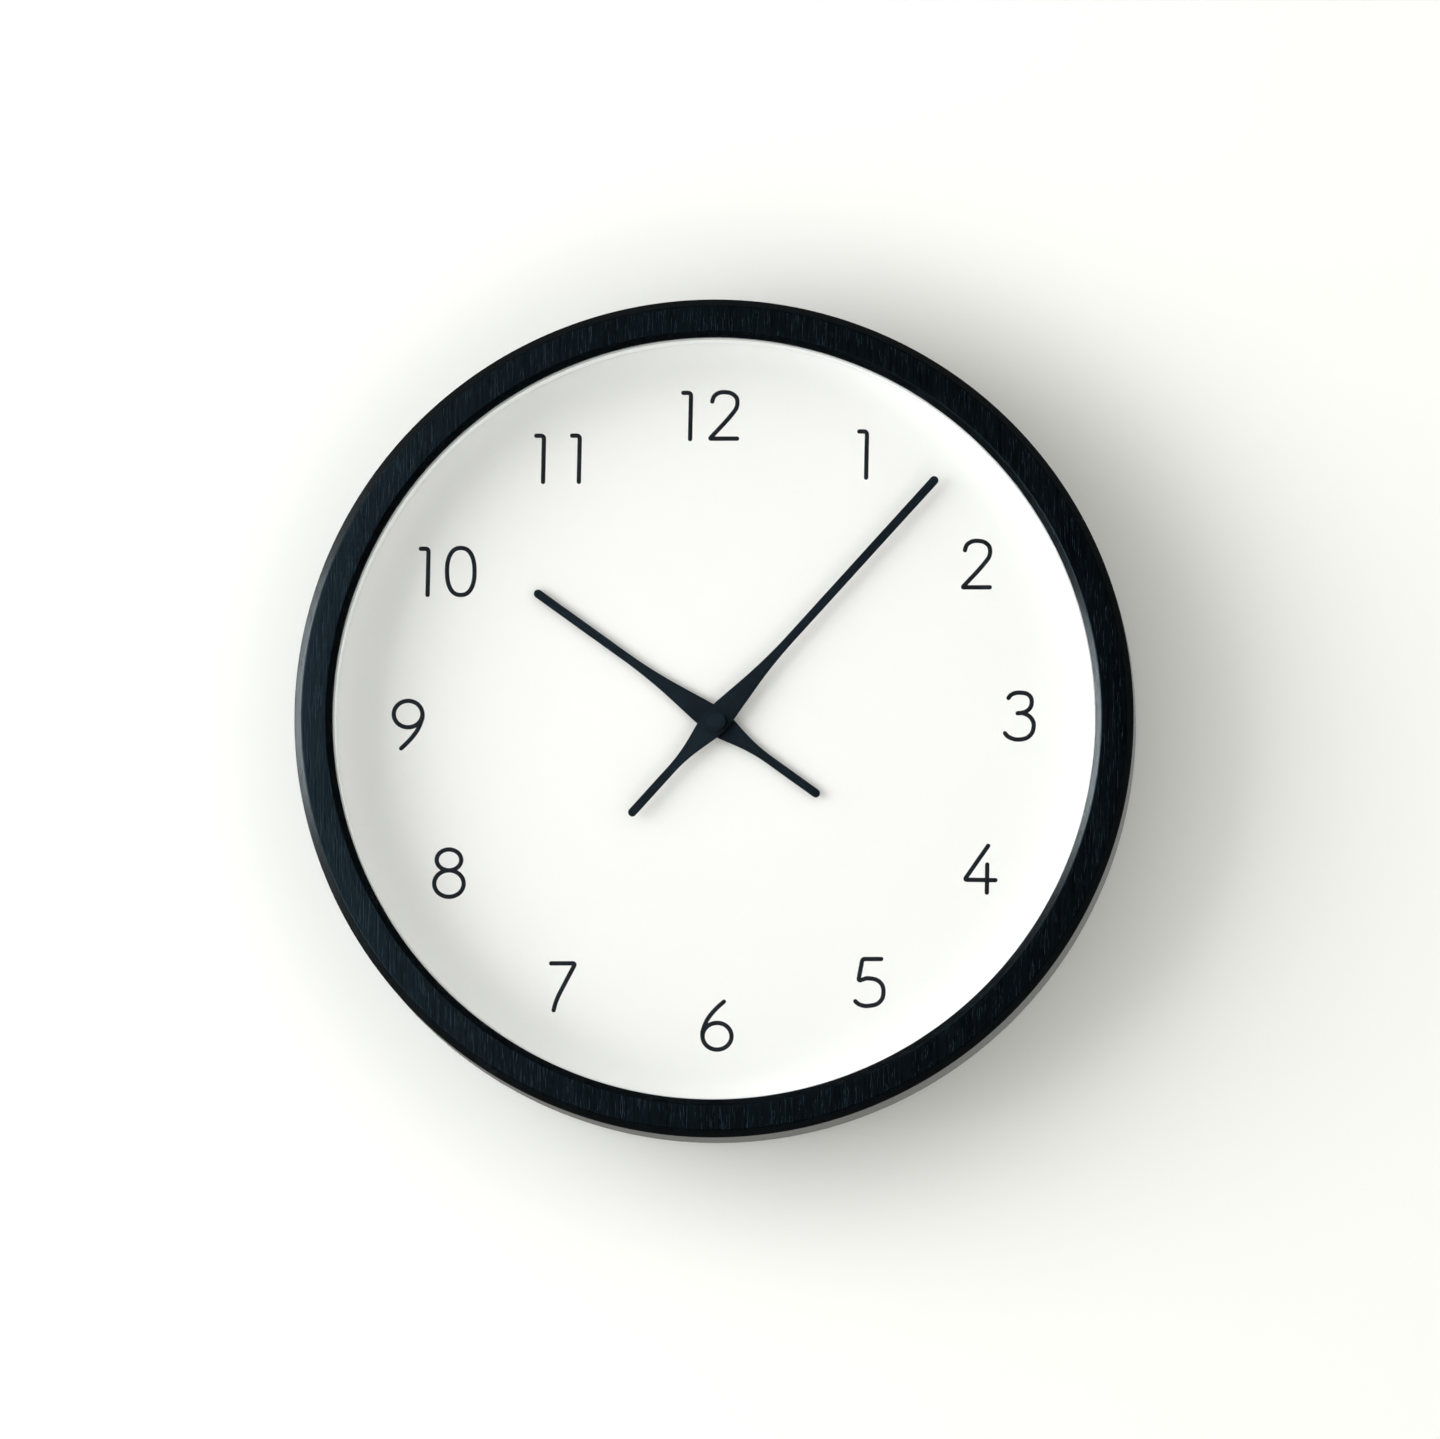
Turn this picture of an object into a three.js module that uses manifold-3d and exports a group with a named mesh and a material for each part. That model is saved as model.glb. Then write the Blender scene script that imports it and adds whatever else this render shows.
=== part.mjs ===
// A round wall clock: a turned wooden rim, a glazed white dial with two hands, and the
// battery quartz movement with its gear train and stepping motor.
// Millimetres, +Z up. The dial faces -Y, the wall is the plane y = 0, and the origin is
// the point of the hanger's slot where the wall screw carries the clock.
import * as THREE from "three";
import { mergeVertices } from "three/addons/utils/BufferGeometryUtils.js";
import Module from "manifold-3d";

const wasm = await Module();
wasm.setup();

// ---------------------------------------------------------------- driving dimensions

// General fits
const FIT_GAP = 0.3; // between pieces that rest on or hold each other
const RUNNING_GAP = 0.2; // radial, between a turning piece and its bearing

// Rim and the opening in its face
const RIM_DIAMETER = 304;
const RIM_DEPTH = 44;
const FACE_WIDTH = 13.85;
const OUTER_CHAMFER = 2.6;
const OPENING_BEVEL = 2.2;
const BACK_CHAMFER = 1;
const LIP_THICKNESS = 5;
const RABBET_WIDTH = 5;
const RIM_SIDES = 64;

// Glass, spacer, dial and board
const GLASS_THICKNESS = 2;
const SPACER_STEP = 0.55; // the spacer's bore is this much smaller than the opening
const DIAL_THICKNESS = 0.6;
const BOARD_THICKNESS = 3;

// Tabs that hold the board in the rim
const TAB_COUNT = 6;
const TAB_WIDTH = 12;
const TAB_THICKNESS = 0.8;
const TAB_IN_RIM = 4;
const TAB_OVER_BOARD = 9;
const TAB_FIRST_ANGLE = 60; // degrees from +X, clear of the hanger

// Hanger plate let into the back of the rim
const HANGER_THICKNESS = 1.2;
const HANGER_SETBACK = 0.2;
const HANGER_EDGE = 2.8; // wood left outside the plate
const HANGER_HALF_ANGLE = 11;
const HANGER_EAR_WIDTH = 8.6;
const HANGER_TONGUE_HALF_WIDTH = 10;
const HOOK_BELOW_RIM = 14; // slot end below the top of the rim
const SLOT_WIDTH = 5;
const ENTRY_DIAMETER = 10;
const SLOT_LENGTH = 7.5;
const HANGER_SCREW_ANGLE = 8;
const HANGER_SCREW_LENGTH = 10;

// Screws
const WOOD_SCREW_RADIUS = 1.2;
const WOOD_SCREW_HEAD_RADIUS = 2.6;
const SMALL_SCREW_RADIUS = 0.7;
const SMALL_SCREW_HEAD_RADIUS = 1.7;
const SMALL_SCREW_HEAD_HEIGHT = 0.8;
const SMALL_SCREW_BITE = 3;

// Movement case and cover
const CASE_WALL = 1.1;
const CASE_FLOOR = 1.2;
const CASE_SETBACK = 0.5; // from the wall plane to the back of the battery bay
const COVER_THICKNESS = 1.2;
const TRAIN_DROP = 10.8; // from the centre arbor down to the wall over the battery
const TRAIN_TOP_CLEARANCE = 1.1; // between the motor's upper post and the top wall
const COIL_CLEARANCE = 0.7; // between the coil and the side wall
const LUG_LENGTH = 7;
const LUG_HALF_HEIGHT = 4.5;
const LUG_THICKNESS = 2;
const BUSH_WALL = 0.8;

// Battery and its contacts
const BATTERY_DIAMETER = 14.2;
const BATTERY_LENGTH = 50.5; // with the button
const BATTERY_BUTTON_RADIUS = 2.75;
const BATTERY_BUTTON_HEIGHT = 1.2;
const BATTERY_EDGE = 0.6;
const BATTERY_LIFT_GAP = 0.4;
const CONTACT_THICKNESS = 0.3;
const CONTACT_WIDTH = 8.8;
const SPRING_LENGTH = 2.3;
const SPRING_WIRE_RADIUS = 0.3;
const SPRING_RADIUS = 3;
const SPRING_TURNS = 2;

// Gear train
const MOTION_MODULE = 0.42;
const SLOW_MODULE = 0.3;
const FAST_MODULE = 0.25;
const WHEEL_THICKNESS = 0.6;
const LEVEL_PITCH = 1.1;
const PINION_OVERLAP = 0.25; // a pinion stands past its wheel by this at each face
const ARBOR_RADIUS = 0.4;
const PIVOT_DEPTH = 0.6;
const MINUTE_ARBOR_RADIUS = 1.5;
const MINUTE_TAIL_RADIUS = 0.6;
const CLUTCH_RADIUS = 1.2;
const HOUR_PIPE_WALL = 0.8;
const TEETH = {
  cannon: 10,
  motion: 30,
  motionPinion: 8,
  hour: 32,
  knob: 10,
  centre: 48,
  thirdPinion: 6,
  third: 45,
  fourthPinion: 6,
  fourth: 40,
  fifthPinion: 8,
  fifth: 36,
  rotorPinion: 6,
};
const ADDENDUM = 0.7; // tooth height outside and inside the pitch circle, in modules
const DEDENDUM = 1.1;
const TIP_SHARE = 0.12; // half a tooth's width at its tip and its root, in pitches
const ROOT_SHARE = 0.27;

// Stepping motor
const MAGNET_RADIUS = 3;
const MAGNET_LENGTH = 1.8;
const AIR_GAP = 0.4;
const STATOR_THICKNESS = 1;
const STATOR_RING = 0.9;
const STATOR_ARM_WIDTH = 3.2;
const STATOR_SCREW_SPAN = 22.4; // between the two screws
const COIL_OFFSET = 8.5; // coil axis to the right of the rotor
const CORE_THICKNESS = 1;
const BOBBIN_RADIUS = 3.6;
const BOBBIN_BARREL_RADIUS = 2.4;
const BOBBIN_FLANGE = 0.6;
const BOBBIN_LENGTH = 17.2;
const WINDING_RADIUS = 3.3;

// Bridge, circuit board and knob
const BRIDGE_THICKNESS = 1;
const BRIDGE_CLEARANCE = 0.5; // behind the rotor's magnet
const POST_RADIUS = 1.8;
const POST_CLEARANCE = 1.2; // between a bridge post and the third wheel
const BRIDGE_POST_DIRECTIONS = [147, -15]; // degrees about the third wheel
const CIRCUIT_THICKNESS = 0.8;
const CIRCUIT_HEIGHT = 7.3;
const PIN_RADIUS = 0.6;
const KNOB_RADIUS = 5.5;
const KNOB_THICKNESS = 1.1;
const KNOB_SHAFT_RADIUS = 1;
const CIRCUIT_PIN_INSET = 7;
const PEG_RADIUS = 1;
const PEG_INSET = 2.7;
const PEG_LENGTH = 3;

// Hands
const HAND_THICKNESS = 0.8;
const HAND_GAP = 1.4; // between the dial, the hour hand and the minute hand
const HAND_HUB_HALF_WIDTH = 4.95;
const HAND_HALF_WIDTH = 1.48;
const HAND_TAIL = 46.3;
const HAND_BLADE_TAPER = 40;
const HAND_TAIL_TAPER = 24;
const HUB_EASE = 0.93; // how far the tapers' handles draw in from the hub's width
const MINUTE_TIP_CLEARANCE = 18.1; // from the tip to the spacer's bore
const HOUR_TIP_CLEARANCE = 56.6;
const MINUTE_REST_ANGLE = 42.3; // degrees clockwise from twelve
const HOUR_REST_ANGLE = 305.8;
const CAP_RADIUS = 3.7;
const CAP_HEIGHT = 1.8;

// ---------------------------------------------------------------- derived layout

const rimRadius = RIM_DIAMETER / 2;
const openingRadius = rimRadius - FACE_WIDTH;
const rabbetRadius = openingRadius + RABBET_WIDTH;
const insertRadius = rabbetRadius - FIT_GAP;
const spacerRadius = openingRadius - SPACER_STEP;
const hookAboveCentre = rimRadius - HOOK_BELOW_RIM;

// Train levels, counted backwards from the inside of the case floor
const trainLevels = 6;
const trainDepth = trainLevels * LEVEL_PITCH;
const motorDepth =
  MAGNET_LENGTH + BRIDGE_CLEARANCE + BRIDGE_THICKNESS + SMALL_SCREW_HEAD_HEIGHT + 2 * FIT_GAP;
const knobRecess = KNOB_THICKNESS + 2 * FIT_GAP;
const trainStack = CASE_FLOOR + FIT_GAP + trainDepth + motorDepth + COVER_THICKNESS + knobRecess;
const batteryStack = CASE_FLOOR + FIT_GAP + BATTERY_DIAMETER + FIT_GAP;
const caseDepth = Math.max(trainStack, batteryStack);

// Depths, from the wall plane forwards
const caseBack = -CASE_SETBACK;
const caseFront = caseBack - caseDepth;
const caseInside = caseFront + CASE_FLOOR;
const boardBack = caseFront - FIT_GAP;
const boardFront = boardBack - BOARD_THICKNESS;
const dialBack = boardFront - FIT_GAP;
const dialFront = dialBack - DIAL_THICKNESS;
const rimFront = -RIM_DEPTH;
const lipBack = rimFront + LIP_THICKNESS;
const glassFront = lipBack + FIT_GAP;
const glassBack = glassFront + GLASS_THICKNESS;
const spacerFront = glassBack + FIT_GAP;
const spacerBack = dialFront - FIT_GAP;
const coverBack = caseBack + FIT_GAP - knobRecess;
const coverFront = coverBack - COVER_THICKNESS;
const wallBack = coverFront - FIT_GAP;

const level = (index) => caseInside + FIT_GAP + index * LEVEL_PITCH;
const hourLevel = level(0);
const motionLevel = level(1);
const centreLevel = level(2);
const thirdLevel = level(3);
const fourthLevel = level(4);
const fifthLevel = level(5);
const magnetFront = level(6);
const magnetBack = magnetFront + MAGNET_LENGTH;
const statorFront = magnetFront + (MAGNET_LENGTH - STATOR_THICKNESS) / 2;
const statorBack = statorFront + STATOR_THICKNESS;
const coreBack = statorFront - FIT_GAP;
const coreFront = coreBack - CORE_THICKNESS;
const bridgeFront = magnetBack + BRIDGE_CLEARANCE;
const bridgeBack = bridgeFront + BRIDGE_THICKNESS;
const arborBack = bridgeBack - FIT_GAP;
const arborFront = caseInside - PIVOT_DEPTH + FIT_GAP;

// Arbor places on the dial plane, as [x, z] about the centre
const polar = (from, distance, degrees) => {
  const angle = THREE.MathUtils.degToRad(degrees);
  return [from[0] + distance * Math.cos(angle), from[1] + distance * Math.sin(angle)];
};
const distanceOf = (module, first, second) => (module * (first + second)) / 2;
const motionDistance = distanceOf(MOTION_MODULE, TEETH.cannon, TEETH.motion);
const MOTION_DIRECTION = 180;
const KNOB_DIRECTION = 150;
const THIRD_DIRECTION = 90;
const FOURTH_DIRECTION = 45;
const FIFTH_DIRECTION = 30;
const ROTOR_DIRECTION = -45;
const centreAxis = [0, 0];
const motionAxis = polar(centreAxis, motionDistance, MOTION_DIRECTION);
const knobAxis = polar(motionAxis, motionDistance, KNOB_DIRECTION);
const thirdAxis = polar(
  centreAxis,
  distanceOf(SLOW_MODULE, TEETH.centre, TEETH.thirdPinion),
  THIRD_DIRECTION,
);
const fourthAxis = polar(
  thirdAxis,
  distanceOf(SLOW_MODULE, TEETH.third, TEETH.fourthPinion),
  FOURTH_DIRECTION,
);
const fifthAxis = polar(
  fourthAxis,
  distanceOf(FAST_MODULE, TEETH.fourth, TEETH.fifthPinion),
  FIFTH_DIRECTION,
);
const rotorAxis = polar(
  fifthAxis,
  distanceOf(FAST_MODULE, TEETH.fifth, TEETH.rotorPinion),
  ROTOR_DIRECTION,
);

// Case plan
const coilX = rotorAxis[0] + COIL_OFFSET;
const bayHalfWidth = (BATTERY_LENGTH + SPRING_LENGTH + 2 * CONTACT_THICKNESS + 3 * FIT_GAP) / 2;
const trainHalfWidth = Math.max(bayHalfWidth, coilX + BOBBIN_RADIUS + COIL_CLEARANCE);
const caseHalfWidth = trainHalfWidth + CASE_WALL;
const trainBase = -TRAIN_DROP;
const bayTop = trainBase - CASE_WALL;
const bayBase = bayTop - BATTERY_DIAMETER - 2 * BATTERY_LIFT_GAP;
const caseBase = bayBase - CASE_WALL;
const trainTop = rotorAxis[1] + STATOR_SCREW_SPAN / 2 + POST_RADIUS + TRAIN_TOP_CLEARANCE;
const caseTop = trainTop + CASE_WALL;
const batteryY = caseInside + FIT_GAP + BATTERY_DIAMETER / 2;
const batteryZ = (bayBase + bayTop) / 2;

// Stack of the hands
const bushFront = dialFront - FIT_GAP;
const hourPipeInner = MINUTE_ARBOR_RADIUS + RUNNING_GAP;
const hourPipeOuter = hourPipeInner + HOUR_PIPE_WALL;
const bushInner = hourPipeOuter + RUNNING_GAP;
const bushOuter = bushInner + BUSH_WALL;
const hourHandBack = dialFront - HAND_GAP;
const hourHandFront = hourHandBack - HAND_THICKNESS;
const minuteHandBack = hourHandFront - HAND_GAP;
const minuteHandFront = minuteHandBack - HAND_THICKNESS;
const hourPipeFront = hourHandFront - FIT_GAP;
const capBack = minuteHandFront - FIT_GAP;
const capFront = capBack - CAP_HEIGHT;
const minuteArborFront = capFront + CAP_HEIGHT / 2;
const minuteReach = spacerRadius - MINUTE_TIP_CLEARANCE;
const hourReach = spacerRadius - HOUR_TIP_CLEARANCE;

// ---------------------------------------------------------------- solids

// Turns a closed geometry into a solid that can be joined and cut.
function solidOf(geometry) {
  const bare = geometry.index ? geometry.toNonIndexed() : geometry.clone();
  bare.deleteAttribute("normal");
  bare.deleteAttribute("uv");
  const merged = mergeVertices(bare, 1e-4);
  return new wasm.Manifold(
    new wasm.Mesh({
      numProp: 3,
      vertProperties: merged.attributes.position.array,
      triVerts: merged.index.array,
    }),
  );
}

function geometryOf(solid) {
  const mesh = solid.getMesh();
  const geometry = new THREE.BufferGeometry();
  geometry.setAttribute("position", new THREE.BufferAttribute(mesh.vertProperties, 3));
  geometry.setIndex(new THREE.BufferAttribute(mesh.triVerts, 1));
  geometry.computeVertexNormals();
  return geometry;
}

const joined = (...solids) => solids.reduce((whole, next) => whole.add(next));
const cut = (solid, ...tools) => tools.reduce((left, tool) => left.subtract(tool), solid);

// A box from its lowest to its highest corner.
function block([x0, y0, z0], [x1, y1, z1]) {
  const geometry = new THREE.BoxGeometry(x1 - x0, y1 - y0, z1 - z0);
  geometry.translate((x0 + x1) / 2, (y0 + y1) / 2, (z0 + z1) / 2);
  return solidOf(geometry);
}

// A round bar along Y between two depths, about an arbor place.
function rod(radius, front, back, [x, z] = [0, 0], sides = 12) {
  const geometry = new THREE.CylinderGeometry(radius, radius, back - front, sides);
  geometry.translate(x, (front + back) / 2, z);
  return solidOf(geometry);
}

// A solid of revolution about Y from [radius, depth] pairs, outer side running backwards.
function turned(profile, [x, z] = [0, 0], sides = RIM_SIDES) {
  const points = profile.map(([radius, depth]) => new THREE.Vector2(radius, depth));
  const geometry = new THREE.LatheGeometry(points, sides);
  geometry.translate(x, 0, z);
  return solidOf(geometry);
}

function tube(inner, outer, front, back, place, sides = 16) {
  const profile = [
    [inner, front],
    [outer, front],
    [outer, back],
    [inner, back],
    [inner, front],
  ];
  return turned(profile, place, sides);
}

// An outline on the dial plane, given thickness between two depths.
function sheet(shape, front, back, curveSegments = 8) {
  const settings = { depth: back - front, bevelEnabled: false, curveSegments };
  const geometry = new THREE.ExtrudeGeometry(shape, settings);
  geometry.rotateX(Math.PI / 2);
  geometry.translate(0, back, 0);
  return solidOf(geometry);
}

// The two faces of a wheel's rim of teeth, as an outline about its own centre.
function gear(teeth, module, phase, front, back, [x, z]) {
  const pitchRadius = (teeth * module) / 2;
  const root = pitchRadius - DEDENDUM * module;
  const tip = pitchRadius + ADDENDUM * module;
  const flank = [
    [-ROOT_SHARE, root],
    [-TIP_SHARE, tip],
    [TIP_SHARE, tip],
    [ROOT_SHARE, root],
  ];
  const points = [];
  for (let tooth = 0; tooth < teeth; tooth += 1) {
    for (const [share, radius] of flank) {
      const angle = phase + ((tooth + share) * 2 * Math.PI) / teeth;
      points.push(
        new THREE.Vector2(x + radius * Math.cos(angle), z + radius * Math.sin(angle)),
      );
    }
  }
  return sheet(new THREE.Shape(points), front, back);
}

// The phase that puts a gear's gap over its neighbour's tooth on the line of centres.
function meshedPhase(phase, teeth, degrees, otherTeeth) {
  const direction = THREE.MathUtils.degToRad(degrees);
  const offset = ((phase - direction) * teeth) / otherTeeth;
  return direction + Math.PI - offset + Math.PI / otherTeeth;
}

const wheelBack = (front) => front + WHEEL_THICKNESS;
const pinionFront = (meshingLevel) => meshingLevel - PINION_OVERLAP;
const pinionBack = (meshingLevel) => wheelBack(meshingLevel) + PINION_OVERLAP;

// ---------------------------------------------------------------- materials

function finish(color, roughness, metalness = 0) {
  return new THREE.MeshStandardMaterial({ color, roughness, metalness });
}
const stainedWood = finish(0x101c26, 0.45);
const whitePlastic = finish(0xf1f1ee, 0.6);
const dialPaint = finish(0xf6f6f4, 0.7);
const hardboard = finish(0x8a6a48, 0.85);
const steel = finish(0xa9acb0, 0.35, 1);
const blackPaint = finish(0x0b1114, 0.6);
const blackPlastic = finish(0x17181a, 0.55);
const gearPlastic = finish(0xe6e2d6, 0.5);
const knobPlastic = finish(0x2b2d30, 0.5);
const brass = finish(0xc9a45a, 0.35, 1);
const copper = finish(0xb5653a, 0.4, 0.8);
const ferrite = finish(0x2c2c2e, 0.5, 0.3);
const circuitGreen = finish(0x1f5a38, 0.5);
const jacket = finish(0x2f4f86, 0.35, 0.4);
const glass = finish(0xdfe8e6, 0.05);
glass.transparent = true;
glass.opacity = 0.25;

const clock = new THREE.Group();
clock.position.z = -hookAboveCentre;

function piece(name, solid, material, parent = clock) {
  const mesh = new THREE.Mesh(geometryOf(solid), material);
  mesh.name = name;
  parent.add(mesh);
  return mesh;
}

// ---------------------------------------------------------------- rim, glass and dial

function makeRim() {
  const profile = [
    [openingRadius, rimFront + OPENING_BEVEL],
    [openingRadius + OPENING_BEVEL, rimFront],
    [rimRadius - OUTER_CHAMFER, rimFront],
    [rimRadius, rimFront + OUTER_CHAMFER],
    [rimRadius, -BACK_CHAMFER],
    [rimRadius - BACK_CHAMFER, 0],
    [rabbetRadius, 0],
    [rabbetRadius, lipBack],
    [openingRadius, lipBack],
    [openingRadius, rimFront + OPENING_BEVEL],
  ];
  const pocket = sheet(hangerOutline(FIT_GAP), -HANGER_SETBACK - HANGER_THICKNESS - FIT_GAP, 1);
  const screwHoles = [-1, 1].map((side) =>
    rod(
      WOOD_SCREW_RADIUS + FIT_GAP,
      -HANGER_SETBACK - HANGER_SCREW_LENGTH - FIT_GAP,
      0,
      hangerScrewPlace(side),
    ),
  );
  return cut(turned(profile), pocket, ...screwHoles, ...tabSlots());
}

function disc(radius, front, back) {
  return turned([
    [0, front],
    [radius, front],
    [radius, back],
    [0, back],
  ]);
}

function makeBoard() {
  const arborHole = rod(bushOuter + FIT_GAP, boardFront - 1, boardBack + 1, centreAxis, 16);
  const screwHoles = [-1, 1].map((side) =>
    rod(WOOD_SCREW_RADIUS + FIT_GAP, boardFront - 1, boardBack + 1, lugPlace(side)),
  );
  return cut(disc(insertRadius, boardFront, boardBack), arborHole, ...screwHoles);
}

function makeDial() {
  const arborHole = rod(bushOuter + FIT_GAP, dialFront - 1, dialBack + 1, centreAxis, 16);
  return cut(disc(insertRadius, dialFront, dialBack), arborHole);
}

// ---------------------------------------------------------------- tabs

const tabAngles = Array.from(
  { length: TAB_COUNT },
  (_, index) => TAB_FIRST_ANGLE + (index * 360) / TAB_COUNT,
);
const tabFront = boardBack + FIT_GAP;

// A radial strip at the rabbet wall, turned to its place round the rim.
function radialStrip(inner, outer, width, front, back, degrees) {
  const geometry = new THREE.BoxGeometry(outer - inner, back - front, width);
  geometry.translate((inner + outer) / 2, (front + back) / 2, 0);
  geometry.rotateY(THREE.MathUtils.degToRad(-degrees));
  return solidOf(geometry);
}

function tabSlots() {
  return tabAngles.map((degrees) =>
    radialStrip(
      rabbetRadius - 1,
      rabbetRadius + TAB_IN_RIM + FIT_GAP,
      TAB_WIDTH + 2 * FIT_GAP,
      tabFront - FIT_GAP,
      tabFront + TAB_THICKNESS + FIT_GAP,
      degrees,
    ),
  );
}

function makeTab(degrees) {
  return radialStrip(
    rabbetRadius - TAB_OVER_BOARD,
    rabbetRadius + TAB_IN_RIM,
    TAB_WIDTH,
    tabFront,
    tabFront + TAB_THICKNESS,
    degrees,
  );
}

// ---------------------------------------------------------------- hanger

const entryAboveCentre = hookAboveCentre - SLOT_LENGTH;

function hangerScrewPlace(side) {
  const radius = rimRadius - HANGER_EDGE - HANGER_EAR_WIDTH / 3;
  return polar([0, 0], radius, 90 - side * HANGER_SCREW_ANGLE);
}

// An arc-shaped ear to each side and a tongue with a round end, wider all round by a margin.
function hangerOutline(margin) {
  const outer = rimRadius - HANGER_EDGE + margin;
  const inner = rimRadius - HANGER_EDGE - HANGER_EAR_WIDTH - margin;
  const spread = THREE.MathUtils.degToRad(HANGER_HALF_ANGLE) + margin / outer;
  const halfWidth = HANGER_TONGUE_HALF_WIDTH + margin;
  const tongueSpread = Math.asin(halfWidth / inner);
  const up = Math.PI / 2;
  const shape = new THREE.Shape();
  shape.absarc(0, 0, outer, up - spread, up + spread, false);
  shape.absarc(0, 0, inner, up + spread, up + tongueSpread, true);
  shape.absarc(0, entryAboveCentre, halfWidth, Math.PI, 2 * Math.PI, false);
  shape.absarc(0, 0, inner, up - tongueSpread, up - spread, true);
  return shape;
}

function countersunk(extra, back, length, place) {
  const head = WOOD_SCREW_HEAD_RADIUS + extra;
  const shank = WOOD_SCREW_RADIUS + extra;
  const profile = [
    [0, back - length],
    [shank, back - length],
    [shank, back - HANGER_THICKNESS],
    [head, back],
    [0, back],
  ];
  return turned(profile, place, 12);
}

function makeHanger() {
  const front = -HANGER_SETBACK - HANGER_THICKNESS;
  const back = -HANGER_SETBACK;
  const plate = sheet(hangerOutline(0), front, back);
  const entry = rod(ENTRY_DIAMETER / 2, front - 1, back + 1, [0, entryAboveCentre], 24);
  const slotEnd = rod(SLOT_WIDTH / 2, front - 1, back + 1, [0, hookAboveCentre], 24);
  const slot = block(
    [-SLOT_WIDTH / 2, front - 1, entryAboveCentre],
    [SLOT_WIDTH / 2, back + 1, hookAboveCentre],
  );
  const holes = [-1, 1].map((side) =>
    countersunk(FIT_GAP, back, 3 * HANGER_THICKNESS, hangerScrewPlace(side)),
  );
  return cut(plate, entry, slotEnd, slot, ...holes);
}

// ---------------------------------------------------------------- movement case

function lugPlace(side) {
  return [side * (caseHalfWidth + LUG_LENGTH / 2), 0];
}

const statorScrews = [-1, 1].map((side) => [
  coilX,
  rotorAxis[1] + (side * STATOR_SCREW_SPAN) / 2,
]);
const thirdTip = (TEETH.third / 2 + ADDENDUM) * SLOW_MODULE;
const bridgePosts = BRIDGE_POST_DIRECTIONS.map((degrees) =>
  polar(thirdAxis, thirdTip + POST_CLEARANCE + POST_RADIUS, degrees),
);
const circuitTop = trainBase + FIT_GAP + CIRCUIT_HEIGHT;
const circuitMiddle = circuitTop - CIRCUIT_HEIGHT / 2;
const circuitFront = bridgeFront;
const circuitPins = [-1, 1].map((side) => [side * (bayHalfWidth - CIRCUIT_PIN_INSET), circuitMiddle]);
const pegPlaces = [
  [-trainHalfWidth + PEG_INSET, trainTop - PEG_INSET],
  [4, trainTop - PEG_INSET],
  [-trainHalfWidth + PEG_INSET, 3],
];

function makeCase() {
  const shell = block([-caseHalfWidth, caseFront, caseBase], [caseHalfWidth, caseBack, caseTop]);
  const hollow = block([-trainHalfWidth, caseInside, trainBase], [trainHalfWidth, 1, trainTop]);
  const bay = block([-bayHalfWidth, caseInside, bayBase], [bayHalfWidth, 1, bayTop]);
  const coverSeat = block(
    [-caseHalfWidth - 1, wallBack, trainBase],
    [caseHalfWidth + 1, 1, caseTop + 1],
  );
  const notchWidth = 2 * (CONTACT_THICKNESS + FIT_GAP);
  const notchHalfHeight = CONTACT_WIDTH / 2 + 2 * FIT_GAP;
  const contactNotches = [-bayHalfWidth, bayHalfWidth - notchWidth].map((low) =>
    block(
      [low, batteryY - notchHalfHeight, bayTop - 1],
      [low + notchWidth, batteryY + notchHalfHeight, trainBase + 1],
    ),
  );
  const lugs = block(
    [-caseHalfWidth - LUG_LENGTH, caseFront, -LUG_HALF_HEIGHT],
    [caseHalfWidth + LUG_LENGTH, caseFront + LUG_THICKNESS, LUG_HALF_HEIGHT],
  );
  const lugHoles = [-1, 1].map((side) =>
    rod(WOOD_SCREW_RADIUS + FIT_GAP, caseFront - 1, caseFront + LUG_THICKNESS + 1, lugPlace(side)),
  );
  const bush = rod(bushOuter, bushFront, caseInside, centreAxis, 16);
  const bore = rod(bushInner, bushFront - 1, caseInside + 1, centreAxis, 16);
  const stud = rod(PIN_RADIUS, caseInside - FIT_GAP, wheelBack(motionLevel) + FIT_GAP, motionAxis);
  const posts = [
    ...bridgePosts.map((place) => rod(POST_RADIUS, caseInside - FIT_GAP, bridgeFront - FIT_GAP, place)),
    ...statorScrews.map((place) => rod(POST_RADIUS, caseInside - FIT_GAP, coreFront - FIT_GAP, place)),
    ...circuitPins.map((place) => rod(POST_RADIUS, caseInside - FIT_GAP, circuitFront - FIT_GAP, place)),
    ...circuitPins.map((place) =>
      rod(PIN_RADIUS, circuitFront - 1, circuitFront + CIRCUIT_THICKNESS + FIT_GAP, place),
    ),
    ...pegPlaces.map((place) => rod(PEG_RADIUS + CASE_WALL, caseInside - FIT_GAP, wallBack, place)),
  ];
  const screwHoles = [
    ...bridgePosts.map((place) => screwHole(bridgeFront - FIT_GAP, place)),
    ...statorScrews.map((place) => screwHole(coreFront - FIT_GAP, place)),
  ];
  const pegHoles = pegPlaces.map((place) =>
    rod(PEG_RADIUS + FIT_GAP, wallBack - PEG_LENGTH - FIT_GAP, wallBack + 1, place),
  );
  const pivots = [thirdAxis, fourthAxis, fifthAxis, rotorAxis, knobAxis].map((place) =>
    rod(ARBOR_RADIUS + RUNNING_GAP, caseInside - PIVOT_DEPTH, caseInside + 1, place),
  );
  const tray = cut(joined(shell, bush), hollow, bay, coverSeat, ...contactNotches);
  const withLugs = cut(joined(tray, lugTips(lugs)), ...lugHoles);
  return cut(joined(withLugs, stud, ...posts), bore, ...screwHoles, ...pegHoles, ...pivots);
}

// The lugs without the stretch that would cross the case's inside.
function lugTips(lugs) {
  const inside = block(
    [-caseHalfWidth + CASE_WALL / 2, caseFront - 1, -LUG_HALF_HEIGHT - 1],
    [caseHalfWidth - CASE_WALL / 2, caseInside + LUG_THICKNESS, LUG_HALF_HEIGHT + 1],
  );
  return cut(lugs, inside);
}

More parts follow.
